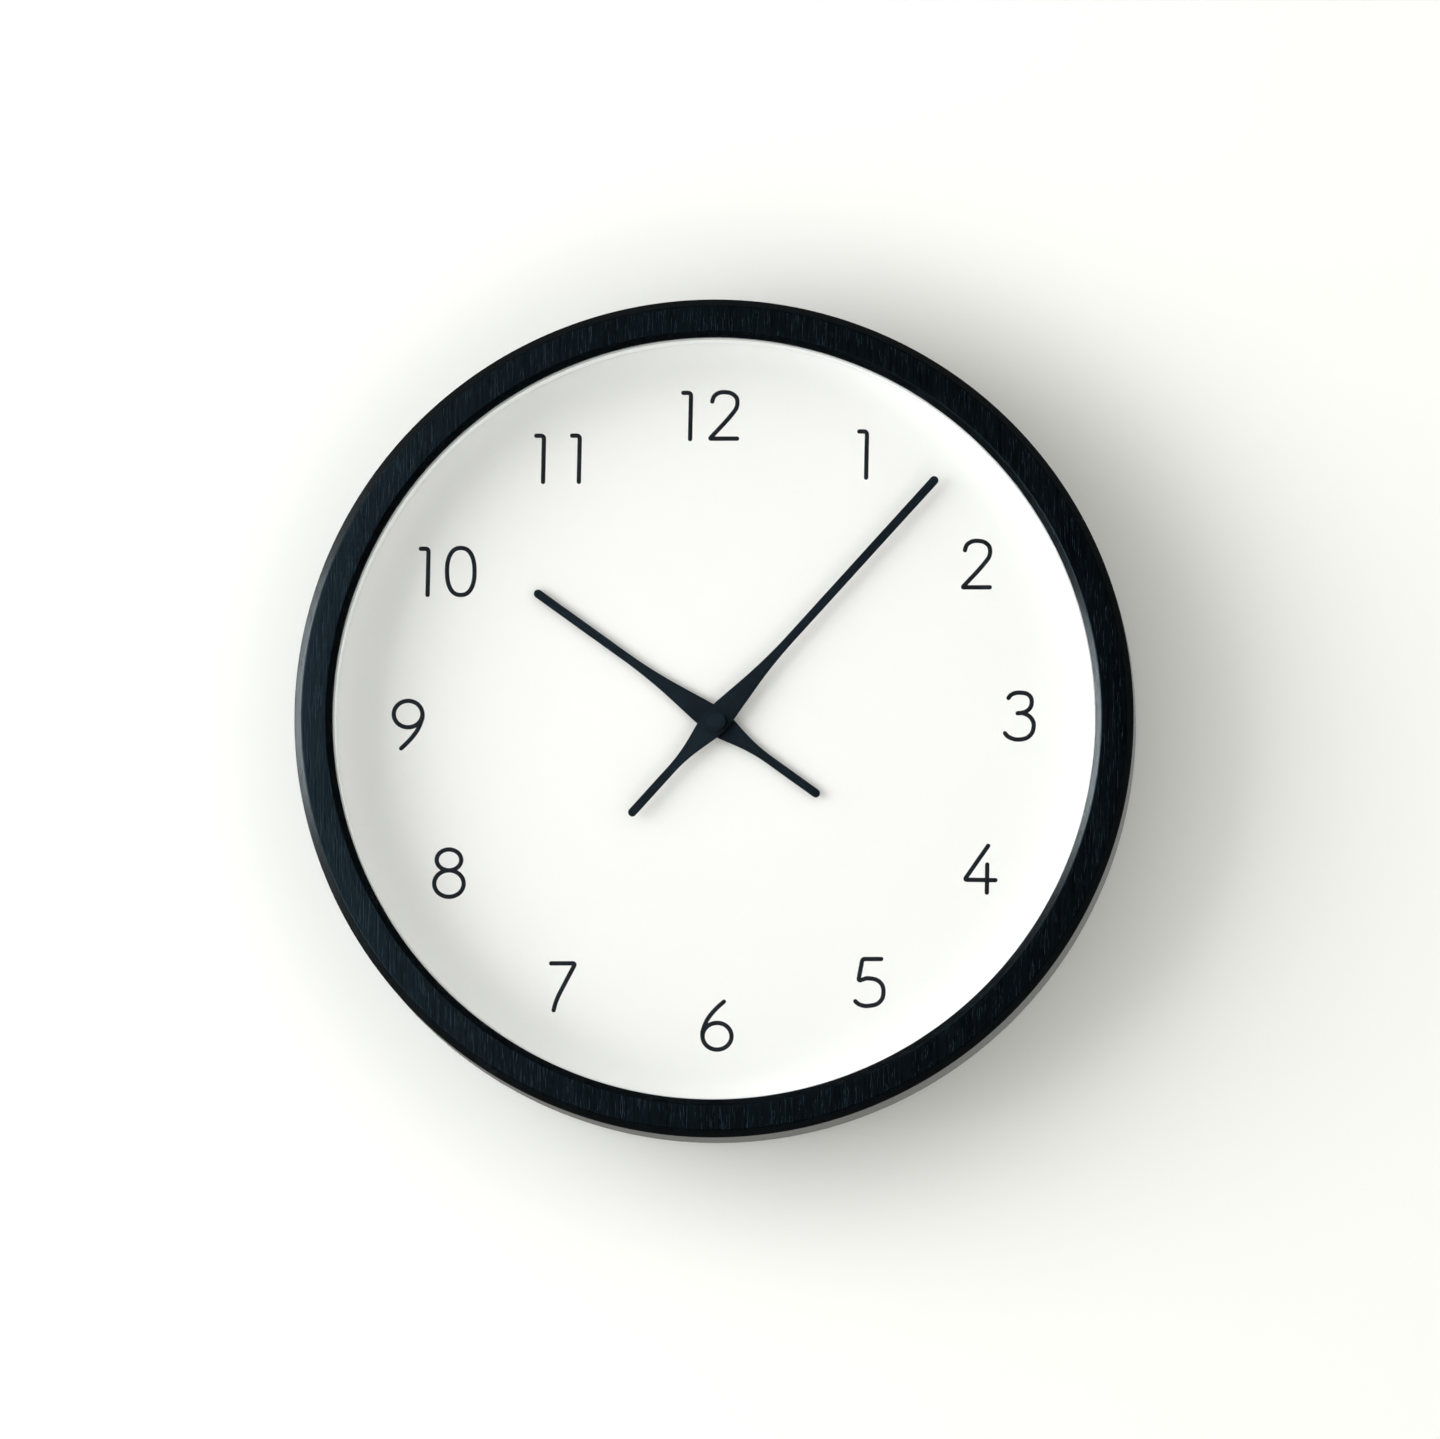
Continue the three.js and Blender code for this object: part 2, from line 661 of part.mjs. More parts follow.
function screwHole(mouth, place) {
  return rod(SMALL_SCREW_RADIUS + FIT_GAP, mouth - SMALL_SCREW_BITE - FIT_GAP, mouth + 1, place);
}

function makeCover() {
  const plate = block(
    [-caseHalfWidth, coverFront, trainBase + FIT_GAP],
    [caseHalfWidth, coverBack, caseTop],
  );
  const pegs = pegPlaces.map((place) =>
    rod(PEG_RADIUS, wallBack - PEG_LENGTH, coverFront + FIT_GAP, place),
  );
  const shaftHole = rod(KNOB_SHAFT_RADIUS + RUNNING_GAP, coverFront - 1, coverBack + 1, knobAxis, 16);
  return cut(joined(plate, ...pegs), shaftHole);
}

// A pan-head screw along Y whose head's underside is at a depth, pointing forwards.
function panScrew(underHead, length, radius, headRadius, headHeight, place) {
  const profile = [
    [0, underHead - length],
    [radius, underHead - length],
    [radius, underHead],
    [headRadius, underHead],
    [headRadius, underHead + headHeight / 2],
    [headRadius / 2, underHead + headHeight],
    [0, underHead + headHeight],
  ];
  return turned(profile, place, 12);
}

// ---------------------------------------------------------------- battery and contacts

function alongX(profile, x, y, z, sides) {
  const points = profile.map(([radius, along]) => new THREE.Vector2(radius, along));
  const geometry = new THREE.LatheGeometry(points, sides);
  geometry.rotateZ(-Math.PI / 2);
  geometry.translate(x, y, z);
  return solidOf(geometry);
}

const positiveFace = -bayHalfWidth + FIT_GAP + CONTACT_THICKNESS;
const negativeFace = bayHalfWidth - FIT_GAP - CONTACT_THICKNESS;

function makeBattery() {
  const radius = BATTERY_DIAMETER / 2;
  const rounding = BATTERY_EDGE;
  const profile = [
    [0, 0],
    [BATTERY_BUTTON_RADIUS, 0],
    [BATTERY_BUTTON_RADIUS, BATTERY_BUTTON_HEIGHT],
    [radius - rounding, BATTERY_BUTTON_HEIGHT],
    [radius, BATTERY_BUTTON_HEIGHT + rounding],
    [radius, BATTERY_LENGTH - rounding],
    [radius - rounding, BATTERY_LENGTH],
    [0, BATTERY_LENGTH],
  ];
  return alongX(profile, positiveFace + FIT_GAP, batteryY, batteryZ, 24);
}

function contactPlate(low, high) {
  return block(
    [low, batteryY - CONTACT_WIDTH / 2, bayBase + FIT_GAP],
    [high, batteryY + CONTACT_WIDTH / 2, circuitTop],
  );
}

function makePositiveContact() {
  return contactPlate(positiveFace - CONTACT_THICKNESS, positiveFace);
}

function makeNegativeContact() {
  const plate = contactPlate(negativeFace, negativeFace + CONTACT_THICKNESS);
  const steps = 24;
  const reach = SPRING_LENGTH - 2 * FIT_GAP;
  const points = [];
  for (let step = 0; step <= steps; step += 1) {
    const share = step / steps;
    const angle = share * SPRING_TURNS * 2 * Math.PI;
    const radius = SPRING_RADIUS * (1 - share / 2);
    points.push(
      new THREE.Vector3(
        negativeFace - share * reach,
        batteryY + radius * Math.cos(angle),
        batteryZ + radius * Math.sin(angle),
      ),
    );
  }
  const section = new THREE.Shape().absarc(0, 0, SPRING_WIRE_RADIUS, 0, 2 * Math.PI, false);
  const geometry = new THREE.ExtrudeGeometry(section, {
    steps,
    curveSegments: 6,
    extrudePath: new THREE.CatmullRomCurve3(points),
  });
  return joined(plate, solidOf(geometry));
}

// ---------------------------------------------------------------- circuit

function makeCircuit() {
  const endGap = 2 * CONTACT_THICKNESS + FIT_GAP;
  const board = block(
    [-bayHalfWidth + endGap, circuitFront, circuitTop - CIRCUIT_HEIGHT],
    [bayHalfWidth - endGap, circuitFront + CIRCUIT_THICKNESS, circuitTop],
  );
  const holes = circuitPins.map((place) =>
    rod(PIN_RADIUS + FIT_GAP, circuitFront - 1, circuitFront + CIRCUIT_THICKNESS + 1, place),
  );
  return cut(board, ...holes);
}

function makeChip() {
  const back = circuitFront - FIT_GAP;
  return block([-11, back - 1.2, circuitMiddle - 2.2], [-4, back, circuitMiddle + 2.2]);
}

function makeCrystal() {
  const radius = 1;
  const length = 6;
  const profile = [
    [0, 0],
    [radius, 0],
    [radius, length],
    [0, length],
  ];
  return alongX(profile, 4, circuitFront - FIT_GAP - radius, circuitMiddle, 12);
}

// ---------------------------------------------------------------- stepping motor

function makeStator() {
  const [x, z] = rotorAxis;
  const half = STATOR_ARM_WIDTH / 2;
  const ringRadius = MAGNET_RADIUS + AIR_GAP + STATOR_RING;
  const ring = rod(ringRadius, statorFront, statorBack, rotorAxis, 24);
  const spine = block(
    [x - half, statorFront, z - STATOR_SCREW_SPAN / 2 - half],
    [x + half, statorBack, z + STATOR_SCREW_SPAN / 2 + half],
  );
  const arms = statorScrews.map(([screwX, screwZ]) =>
    block([x, statorFront, screwZ - half], [screwX + half, statorBack, screwZ + half]),
  );
  const air = rod(MAGNET_RADIUS + AIR_GAP, statorFront - 1, statorBack + 1, rotorAxis, 24);
  const holes = statorScrews.map((place) =>
    rod(SMALL_SCREW_RADIUS + FIT_GAP, statorFront - 1, statorBack + 1, place),
  );
  return cut(joined(ring, spine, ...arms), air, ...holes);
}

function makeCore() {
  const half = STATOR_ARM_WIDTH / 2;
  const [[, lower], [, upper]] = statorScrews;
  const bar = block([coilX - half, coreFront, lower - half], [coilX + half, coreBack, upper + half]);
  const holes = statorScrews.map((place) =>
    rod(SMALL_SCREW_RADIUS + FIT_GAP, coreFront - 1, coreBack + 1, place),
  );
  return cut(bar, ...holes);
}

const coilY = (coreFront + coreBack) / 2;

// A solid of revolution about the coil's vertical axis from [radius, height] pairs.
function aboutCoil(profile, sides = 16) {
  const points = profile.map(([radius, height]) => new THREE.Vector2(radius, height));
  const geometry = new THREE.LatheGeometry(points, sides);
  geometry.rotateX(Math.PI / 2);
  geometry.translate(coilX, coilY, rotorAxis[1]);
  return solidOf(geometry);
}

function makeBobbin() {
  const end = BOBBIN_LENGTH / 2;
  const neck = end - BOBBIN_FLANGE;
  const profile = [
    [0, -end],
    [BOBBIN_RADIUS, -end],
    [BOBBIN_RADIUS, -neck],
    [BOBBIN_BARREL_RADIUS, -neck],
    [BOBBIN_BARREL_RADIUS, neck],
    [BOBBIN_RADIUS, neck],
    [BOBBIN_RADIUS, end],
    [0, end],
  ];
  const halfWidth = STATOR_ARM_WIDTH / 2 + RUNNING_GAP;
  const hole = block(
    [coilX - halfWidth, coreFront - RUNNING_GAP, rotorAxis[1] - end - 1],
    [coilX + halfWidth, coreBack + RUNNING_GAP, rotorAxis[1] + end + 1],
  );
  return cut(aboutCoil(profile), hole);
}

function makeWinding() {
  const inner = BOBBIN_BARREL_RADIUS + FIT_GAP;
  const end = BOBBIN_LENGTH / 2 - BOBBIN_FLANGE - FIT_GAP;
  const profile = [
    [inner, -end],
    [WINDING_RADIUS, -end],
    [WINDING_RADIUS, end],
    [inner, end],
    [inner, -end],
  ];
  return aboutCoil(profile);
}

// ---------------------------------------------------------------- gear train

const phases = {
  cannon: 0,
  motionPinion: 0,
  thirdPinion: 0,
  fourthPinion: 0,
  fourth: 0,
  fifth: 0,
};
phases.motion = meshedPhase(phases.cannon, TEETH.cannon, MOTION_DIRECTION, TEETH.motion);
phases.hour = meshedPhase(phases.motionPinion, TEETH.motionPinion, MOTION_DIRECTION + 180, TEETH.hour);
phases.knob = meshedPhase(phases.motion, TEETH.motion, KNOB_DIRECTION, TEETH.knob);
phases.centre = meshedPhase(phases.thirdPinion, TEETH.thirdPinion, THIRD_DIRECTION + 180, TEETH.centre);
phases.third = meshedPhase(phases.fourthPinion, TEETH.fourthPinion, FOURTH_DIRECTION + 180, TEETH.third);
phases.fifthPinion = meshedPhase(phases.fourth, TEETH.fourth, FIFTH_DIRECTION, TEETH.fifthPinion);
phases.rotorPinion = meshedPhase(phases.fifth, TEETH.fifth, ROTOR_DIRECTION, TEETH.rotorPinion);

const wheel = (name, module, front, axis) =>
  gear(TEETH[name], module, phases[name], front, wheelBack(front), axis);
const pinion = (name, module, front, back, axis) =>
  gear(TEETH[name], module, phases[name], front, back, axis);
const trainArbor = (axis) => rod(ARBOR_RADIUS, arborFront, arborBack, axis);

function makeThird() {
  return joined(
    wheel("third", SLOW_MODULE, thirdLevel, thirdAxis),
    pinion("thirdPinion", SLOW_MODULE, pinionFront(centreLevel), wheelBack(thirdLevel), thirdAxis),
    trainArbor(thirdAxis),
  );
}

function makeFourth() {
  return joined(
    wheel("fourth", FAST_MODULE, fourthLevel, fourthAxis),
    pinion("fourthPinion", SLOW_MODULE, pinionFront(thirdLevel), wheelBack(fourthLevel), fourthAxis),
    trainArbor(fourthAxis),
  );
}

function makeFifth() {
  return joined(
    wheel("fifth", FAST_MODULE, fifthLevel, fifthAxis),
    pinion("fifthPinion", FAST_MODULE, pinionFront(fourthLevel), wheelBack(fifthLevel), fifthAxis),
    trainArbor(fifthAxis),
  );
}

function makeRotorPinion() {
  return joined(
    pinion("rotorPinion", FAST_MODULE, pinionFront(fifthLevel), pinionBack(fifthLevel), rotorAxis),
    trainArbor(rotorAxis),
  );
}

function makeMagnet() {
  return tube(ARBOR_RADIUS + FIT_GAP, MAGNET_RADIUS, magnetFront, magnetBack, rotorAxis, 24);
}

function makeCentreWheel() {
  const bore = rod(CLUTCH_RADIUS + RUNNING_GAP, centreLevel - 1, centreLevel + 2, centreAxis);
  return cut(wheel("centre", SLOW_MODULE, centreLevel, centreAxis), bore);
}

function makeMinuteArbor() {
  const clutchBack = wheelBack(centreLevel) + FIT_GAP;
  return joined(
    rod(MINUTE_ARBOR_RADIUS, minuteArborFront, motionLevel, centreAxis, 16),
    pinion("cannon", MOTION_MODULE, pinionFront(motionLevel), pinionBack(motionLevel), centreAxis),
    rod(CLUTCH_RADIUS, motionLevel, clutchBack, centreAxis),
    rod(MINUTE_TAIL_RADIUS, motionLevel, arborBack, centreAxis),
  );
}

function makeMotionWheel() {
  const solid = joined(
    wheel("motion", MOTION_MODULE, motionLevel, motionAxis),
    pinion("motionPinion", MOTION_MODULE, hourLevel - RUNNING_GAP / 2, wheelBack(motionLevel), motionAxis),
  );
  return cut(solid, rod(PIN_RADIUS + RUNNING_GAP, hourLevel - 1, motionLevel + 2, motionAxis));
}

function makeHourWheel() {
  const solid = joined(
    wheel("hour", MOTION_MODULE, hourLevel, centreAxis),
    rod(hourPipeOuter, hourPipeFront, wheelBack(hourLevel), centreAxis, 16),
  );
  return cut(solid, rod(hourPipeInner, hourPipeFront - 1, hourLevel + 2, centreAxis, 16));
}

function makeKnob() {
  const back = caseBack + FIT_GAP / 2;
  const front = back - KNOB_THICKNESS;
  const ridges = 18;
  const outline = [];
  for (let corner = 0; corner < 2 * ridges; corner += 1) {
    const angle = (corner * Math.PI) / ridges;
    const radius = corner % 2 ? KNOB_RADIUS : KNOB_RADIUS - 0.35;
    outline.push(
      new THREE.Vector2(
        knobAxis[0] + radius * Math.cos(angle),
        knobAxis[1] + radius * Math.sin(angle),
      ),
    );
  }
  return joined(
    sheet(new THREE.Shape(outline), front, back),
    rod(KNOB_SHAFT_RADIUS, motionLevel, (front + back) / 2, knobAxis),
    pinion("knob", MOTION_MODULE, pinionFront(motionLevel), pinionBack(motionLevel), knobAxis),
    rod(ARBOR_RADIUS, arborFront, motionLevel, knobAxis),
  );
}

function makeBridge() {
  const shape = new THREE.Shape(
    [
      [-3, circuitTop + FIT_GAP],
      [4, circuitTop + FIT_GAP],
      [rotorAxis[0] + 3, rotorAxis[1] - 5],
      [rotorAxis[0] + 3, rotorAxis[1] + 2],
      [fifthAxis[0] + 2.5, fifthAxis[1] + 2.5],
      [bridgePosts[0][0], bridgePosts[0][1] + 3],
      [bridgePosts[0][0] - 3, bridgePosts[0][1]],
    ].map(([x, z]) => new THREE.Vector2(x, z)),
  );
  const pivots = [thirdAxis, fourthAxis, fifthAxis, rotorAxis].map((place) =>
    rod(ARBOR_RADIUS + RUNNING_GAP, bridgeFront - 1, bridgeBack + 1, place),
  );
  const centrePivot = rod(MINUTE_TAIL_RADIUS + RUNNING_GAP, bridgeFront - 1, bridgeBack + 1, centreAxis);
  const screwHoles = bridgePosts.map((place) =>
    rod(SMALL_SCREW_RADIUS + FIT_GAP, bridgeFront - 1, bridgeBack + 1, place),
  );
  return cut(sheet(shape, bridgeFront, bridgeBack), centrePivot, ...pivots, ...screwHoles);
}

// ---------------------------------------------------------------- hands

// One hand pointing up: concave tapers from the hub to a slim blade and a slim tail.
function handOutline(reach) {
  const hub = HAND_HUB_HALF_WIDTH;
  const slim = HAND_HALF_WIDTH;
  const shape = new THREE.Shape();
  // From the hub to the slim width over a length, in the ease-out that both tapers share.
  const narrow = (side, length, hubEase, slimEase) =>
    shape.bezierCurveTo(
      side * hub * HUB_EASE,
      length * hubEase,
      side * slim,
      length * slimEase,
      side * slim,
      length,
    );
  const widen = (side, length, hubEase, slimEase) =>
    shape.bezierCurveTo(
      side * slim,
      length * slimEase,
      side * hub * HUB_EASE,
      length * hubEase,
      side * hub,
      0,
    );
  shape.moveTo(hub, 0);
  narrow(1, HAND_BLADE_TAPER, 0.22, 0.55);
  shape.lineTo(slim, reach - slim);
  shape.absarc(0, reach - slim, slim, 0, Math.PI, false);
  shape.lineTo(-slim, HAND_BLADE_TAPER);
  widen(-1, HAND_BLADE_TAPER, 0.22, 0.55);
  narrow(-1, -HAND_TAIL_TAPER, 0.29, 0.52);
  shape.lineTo(-slim, slim - HAND_TAIL);
  shape.absarc(0, slim - HAND_TAIL, slim, Math.PI, 2 * Math.PI, false);
  shape.lineTo(slim, -HAND_TAIL_TAPER);
  widen(1, -HAND_TAIL_TAPER, 0.29, 0.52);
  return shape;
}

function makeHand(reach, boreRadius, front, back) {
  const bore = rod(boreRadius, front - 1, back + 1, centreAxis, 16);
  return cut(sheet(handOutline(reach), front, back, 6), bore);
}

function makeCap() {
  const boreRadius = MINUTE_ARBOR_RADIUS + FIT_GAP;
  const boreFront = minuteArborFront - FIT_GAP;
  const profile = [
    [0, capFront],
    [CAP_RADIUS * 0.75, capFront + CAP_HEIGHT * 0.12],
    [CAP_RADIUS, capFront + CAP_HEIGHT * 0.45],
    [CAP_RADIUS, capBack],
    [boreRadius, capBack],
    [boreRadius, boreFront],
    [0, boreFront],
  ];
  return turned(profile, centreAxis, 20);
}

// ---------------------------------------------------------------- assembly

piece("frame_ring", makeRim(), stainedWood);
piece("front_glass", disc(insertRadius, glassFront, glassBack), glass);
piece(
  "spacer_ring",
  tube(spacerRadius, insertRadius, spacerFront, spacerBack, centreAxis, RIM_SIDES),
  whitePlastic,
);
piece("dial_plate", makeDial(), dialPaint);
piece("backing_board", makeBoard(), hardboard);
tabAngles.forEach((degrees, index) => piece(`retainer_tab_${index + 1}`, makeTab(degrees), steel));

piece("hanger_plate", makeHanger(), steel);
const sides = { left: -1, right: 1 };
for (const [name, side] of Object.entries(sides)) {
  piece(
    `hanger_screw_${name}`,
    countersunk(0, -HANGER_SETBACK, HANGER_SCREW_LENGTH, hangerScrewPlace(side)),
    steel,
  );
  piece(
    `movement_screw_${name}`,
    panScrew(
      caseFront + LUG_THICKNESS + FIT_GAP,
      LUG_THICKNESS + BOARD_THICKNESS,
      WOOD_SCREW_RADIUS,
      WOOD_SCREW_HEAD_RADIUS,
      1.5,
      lugPlace(side),
    ),
    steel,
  );
}

piece("movement_case", makeCase(), blackPlastic);
piece("movement_cover", makeCover(), blackPlastic);
piece("battery", makeBattery(), jacket);
piece("battery_contact_positive", makePositiveContact(), steel);
piece("battery_contact_negative", makeNegativeContact(), steel);
piece("circuit_board", makeCircuit(), circuitGreen);
piece("controller_chip", makeChip(), blackPlastic);
piece("quartz_crystal", makeCrystal(), steel);

piece("stator_plate", makeStator(), steel);
piece("coil_core", makeCore(), steel);
piece("coil_bobbin", makeBobbin(), whitePlastic);
piece("coil_winding", makeWinding(), copper);
const smallScrew = (underHead, length, place) =>
  panScrew(underHead, length, SMALL_SCREW_RADIUS, SMALL_SCREW_HEAD_RADIUS, SMALL_SCREW_HEAD_HEIGHT, place);
const statorScrewLength = STATOR_THICKNESS + CORE_THICKNESS + SMALL_SCREW_BITE;
statorScrews.forEach((place, index) =>
  piece(`stator_screw_${index + 1}`, smallScrew(statorBack + FIT_GAP, statorScrewLength, place), steel),
);
piece("train_bridge", makeBridge(), brass);
bridgePosts.forEach((place, index) =>
  piece(
    `bridge_screw_${index + 1}`,
    smallScrew(bridgeBack + FIT_GAP, BRIDGE_THICKNESS + SMALL_SCREW_BITE, place),
    steel,
  ),
);

piece("rotor_magnet", makeMagnet(), ferrite);
piece("rotor_pinion", makeRotorPinion(), gearPlastic);
piece("fifth_wheel", makeFifth(), gearPlastic);
piece("fourth_wheel", makeFourth(), gearPlastic);
piece("third_wheel", makeThird(), gearPlastic);
piece("centre_wheel", makeCentreWheel(), gearPlastic);
piece("minute_arbor", makeMinuteArbor(), brass);
piece("motion_wheel", makeMotionWheel(), gearPlastic);
piece("hour_wheel", makeHourWheel(), gearPlastic);
piece("setting_knob", makeKnob(), knobPlastic);

const hourTurn = new THREE.Group();
hourTurn.rotation.y = THREE.MathUtils.degToRad(HOUR_REST_ANGLE);
const minuteTurn = new THREE.Group();
minuteTurn.rotation.y = THREE.MathUtils.degToRad(MINUTE_REST_ANGLE);
clock.add(hourTurn, minuteTurn);
piece(
  "hour_hand",
  makeHand(hourReach, hourPipeOuter + FIT_GAP, hourHandFront, hourHandBack),
  blackPaint,
  hourTurn,
);
piece(
  "minute_hand",
  makeHand(minuteReach, MINUTE_ARBOR_RADIUS + FIT_GAP, minuteHandFront, minuteHandBack),
  blackPaint,
  minuteTurn,
);
piece("hand_cap", makeCap(), blackPaint);

export default clock;
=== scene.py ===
import math
from contextlib import contextmanager

import bmesh
import bpy
from mathutils import Matrix, Vector
from mathutils.geometry import interpolate_bezier


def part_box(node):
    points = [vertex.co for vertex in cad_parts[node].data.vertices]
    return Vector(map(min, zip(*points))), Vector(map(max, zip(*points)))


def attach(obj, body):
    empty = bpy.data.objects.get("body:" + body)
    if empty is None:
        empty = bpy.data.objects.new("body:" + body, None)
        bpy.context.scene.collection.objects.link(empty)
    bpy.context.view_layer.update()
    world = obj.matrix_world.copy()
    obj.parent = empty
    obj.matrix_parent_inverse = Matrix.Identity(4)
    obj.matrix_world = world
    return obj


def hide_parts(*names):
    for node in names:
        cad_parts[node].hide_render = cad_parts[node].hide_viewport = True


# A round wall clock: turned and stained wooden rim, glass, white dial with printed
# numerals, two black hands, and a battery movement behind a hardboard back.
# Metres, +Z up. The dial faces -Y and the wall is the plane y = 0.

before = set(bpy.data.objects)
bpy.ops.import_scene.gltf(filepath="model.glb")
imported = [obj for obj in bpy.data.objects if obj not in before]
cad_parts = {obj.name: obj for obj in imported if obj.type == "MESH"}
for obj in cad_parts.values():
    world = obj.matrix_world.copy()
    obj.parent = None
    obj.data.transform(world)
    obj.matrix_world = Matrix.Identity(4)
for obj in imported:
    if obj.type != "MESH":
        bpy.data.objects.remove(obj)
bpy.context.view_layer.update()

MM = 0.001
ROUND_STEPS = 288  # sides of a turned piece as wide as the rim
SMALL_STEPS = 64  # sides of a small turned piece
MERGE = 0.0005 * MM


# ---------------------------------------------------------------- places, from the frame

def depths(node):
    """The front and back of a CAD node, along Y."""
    low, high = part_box(node)
    return low.y, high.y


def middle_of(node):
    low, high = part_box(node)
    return (low + high) / 2


def half_width(node):
    low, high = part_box(node)
    return (high.x - low.x) / 2


CENTRE = middle_of("frame_ring")
CENTRE.y = 0
RIM_RADIUS = half_width("frame_ring")
RIM_FRONT, RIM_BACK = depths("frame_ring")
INSERT_RADIUS = half_width("spacer_ring")
DIAL_FRONT, DIAL_BACK = depths("dial_plate")
BOARD_FRONT, BOARD_BACK = depths("backing_board")

# Rim section
FACE_WIDTH = 13.85 * MM
LIP_THICKNESS = 5 * MM
RABBET_WIDTH = 5 * MM
OUTER_CHAMFER = 2.6 * MM
OPENING_BEVEL = 2.2 * MM
BACK_CHAMFER = 1 * MM
TURNED_EASE = 0.35 * MM  # the rounding that sanding leaves on the rim's corners
OPENING_RADIUS = RIM_RADIUS - FACE_WIDTH
SPACER_SHOWS = 0.55 * MM  # of the spacer's edge, inside the rim's opening
SPACER_BORE = OPENING_RADIUS - SPACER_SHOWS
FIT_GAP = 0.3 * MM
CUT_PAST = 2 * MM  # how far a cutter runs past a face
BORE_STEPS = 24
ARBOR_HOLE = 3.8 * MM
SCREW_BORE = 1.5 * MM
HANGER_BORE_DEPTH = 10.5 * MM
HANGER_SCREW_RADIUS = 146.33 * MM
HANGER_SCREW_TURN = 8  # degrees to each side of twelve
LUG_REACH = 31.75 * MM  # from the axis to a lug screw


# ---------------------------------------------------------------- modelling helpers

def only(*pieces):
    """Leaves only these pieces selected, the first one active."""
    bpy.ops.object.select_all(action="DESELECT")
    for piece in pieces:
        piece.select_set(True)
    bpy.context.view_layer.objects.active = pieces[0]


@contextmanager
def editing(piece):
    only(piece)
    bpy.ops.object.mode_set(mode="EDIT")
    yield
    bpy.ops.object.mode_set(mode="OBJECT")


def choose(kind, test):
    """In edit mode, selects only what passes a test of its middle and its direction.

    A face's and a corner's direction is its normal, and an edge's runs along it."""
    bpy.ops.mesh.select_mode(type=kind)
    bpy.ops.mesh.select_all(action="DESELECT")
    shape = bmesh.from_edit_mesh(bpy.context.object.data)
    if kind == "VERT":
        found = [v for v in shape.verts if test(v.co, v.normal)]
    elif kind == "EDGE":
        found = [
            e
            for e in shape.edges
            if test((e.verts[0].co + e.verts[1].co) / 2, e.verts[1].co - e.verts[0].co)
        ]
    else:
        found = [f for f in shape.faces if test(f.calc_center_median(), f.normal)]
    for part in found:
        part.select_set(True)
    shape.select_flush_mode()
    bmesh.update_edit_mesh(bpy.context.object.data)


def faces_front(_, normal):
    return normal.y < -0.9


def faces_back(_, normal):
    return normal.y > 0.9


def runs_deep(along):
    """Whether an edge runs from front to back."""
    return abs(along.normalized().y) > 0.99


def take_all():
    bpy.ops.mesh.select_all(action="SELECT")


def push(depth, aside=0):
    """In edit mode, extrudes what is selected by a depth along Y, or aside along X."""
    bpy.ops.mesh.extrude_region_move(TRANSFORM_OT_translate={"value": (aside, depth, 0)})


def squeeze(share, **about):
    """In edit mode, scales what is selected across Y."""
    bpy.ops.transform.resize(value=(share, 1, share), **about)


def near(a, b, reach=0.01 * MM):
    return abs(a - b) < reach


def settle(name):
    """Names the new piece and moves its place into its mesh."""
    piece = bpy.context.object
    piece.name = name
    piece.data.name = name
    bpy.ops.object.transform_apply(location=True, rotation=True, scale=True)
    return piece


def new_block(name, low, high):
    bpy.ops.object.select_all(action="DESELECT")
    low, high = Vector(low), Vector(high)
    bpy.ops.mesh.primitive_cube_add(size=1, location=(low + high) / 2, scale=high - low)
    return settle(name)


def new_rod(name, radius, front, back, place, sides=SMALL_STEPS, tip=None):
    """A round bar along Y about a place, or a cone where its front has another radius."""
    bpy.ops.object.select_all(action="DESELECT")
    bpy.ops.mesh.primitive_cone_add(
        vertices=sides,
        radius1=radius if tip is None else tip,
        radius2=radius,
        depth=back - front,
        location=(place.x, (front + back) / 2, place.z),
        rotation=(-math.pi / 2, 0, 0),
    )
    return settle(name)


def new_section(name, inner, outer, front, back):
    """A flat rectangle to the right of the centre, ready to be spun about it."""
    bpy.ops.object.select_all(action="DESELECT")
    bpy.ops.mesh.primitive_plane_add(
        size=1, location=(CENTRE.x + (inner + outer) / 2, (front + back) / 2, CENTRE.z)
    )
    bpy.context.object.scale = (outer - inner, back - front, 1)
    return settle(name)


def cut_corner(radius, depth, size, segments=1):
    """In edit mode, bevels the section's corner at a radius and a depth."""
    choose("VERT", lambda at, _: near(at.x - CENTRE.x, radius) and near(at.y, depth))
    bpy.ops.mesh.bevel(offset=size, affect="VERTICES", segments=segments, offset_type="OFFSET")


def close_shape():
    """In edit mode, merges doubles and turns every face outwards."""
    take_all()
    bpy.ops.mesh.remove_doubles(threshold=MERGE)
    bpy.ops.mesh.normals_make_consistent(inside=False)


def spin_round():
    """In edit mode, spins the section's outline a full turn about the clock's axis."""
    take_all()
    bpy.ops.mesh.dissolve_faces()
    take_all()
    bpy.ops.mesh.delete(type="ONLY_FACE")
    take_all()
    bpy.ops.mesh.spin(steps=ROUND_STEPS, angle=2 * math.pi, center=CENTRE, axis=(0, 1, 0))
    close_shape()


def shade(piece, degrees=35):
    """Smooths the shading below an angle, and keeps it level over the larger faces."""
    only(piece)
    bpy.ops.object.shade_smooth_by_angle(angle=math.radians(degrees))
    modified(piece, "WEIGHTED_NORMAL", keep_sharp=True, weight=100)


def modified(piece, kind, **settings):
    """Adds a modifier and applies it."""
    only(piece)
    modifier = piece.modifiers.new(kind.lower(), kind)
    for key, value in settings.items():
        setattr(modifier, key, value)
    bpy.ops.object.modifier_apply(modifier=modifier.name)


def cut_away(piece, *cutters, operation="DIFFERENCE"):
    """Cuts other shapes out of a piece, or joins them to it, and removes them."""
    for cutter in cutters:
        modified(piece, "BOOLEAN", object=cutter, operation=operation, solver="EXACT")
        bpy.data.objects.remove(cutter)
    return piece


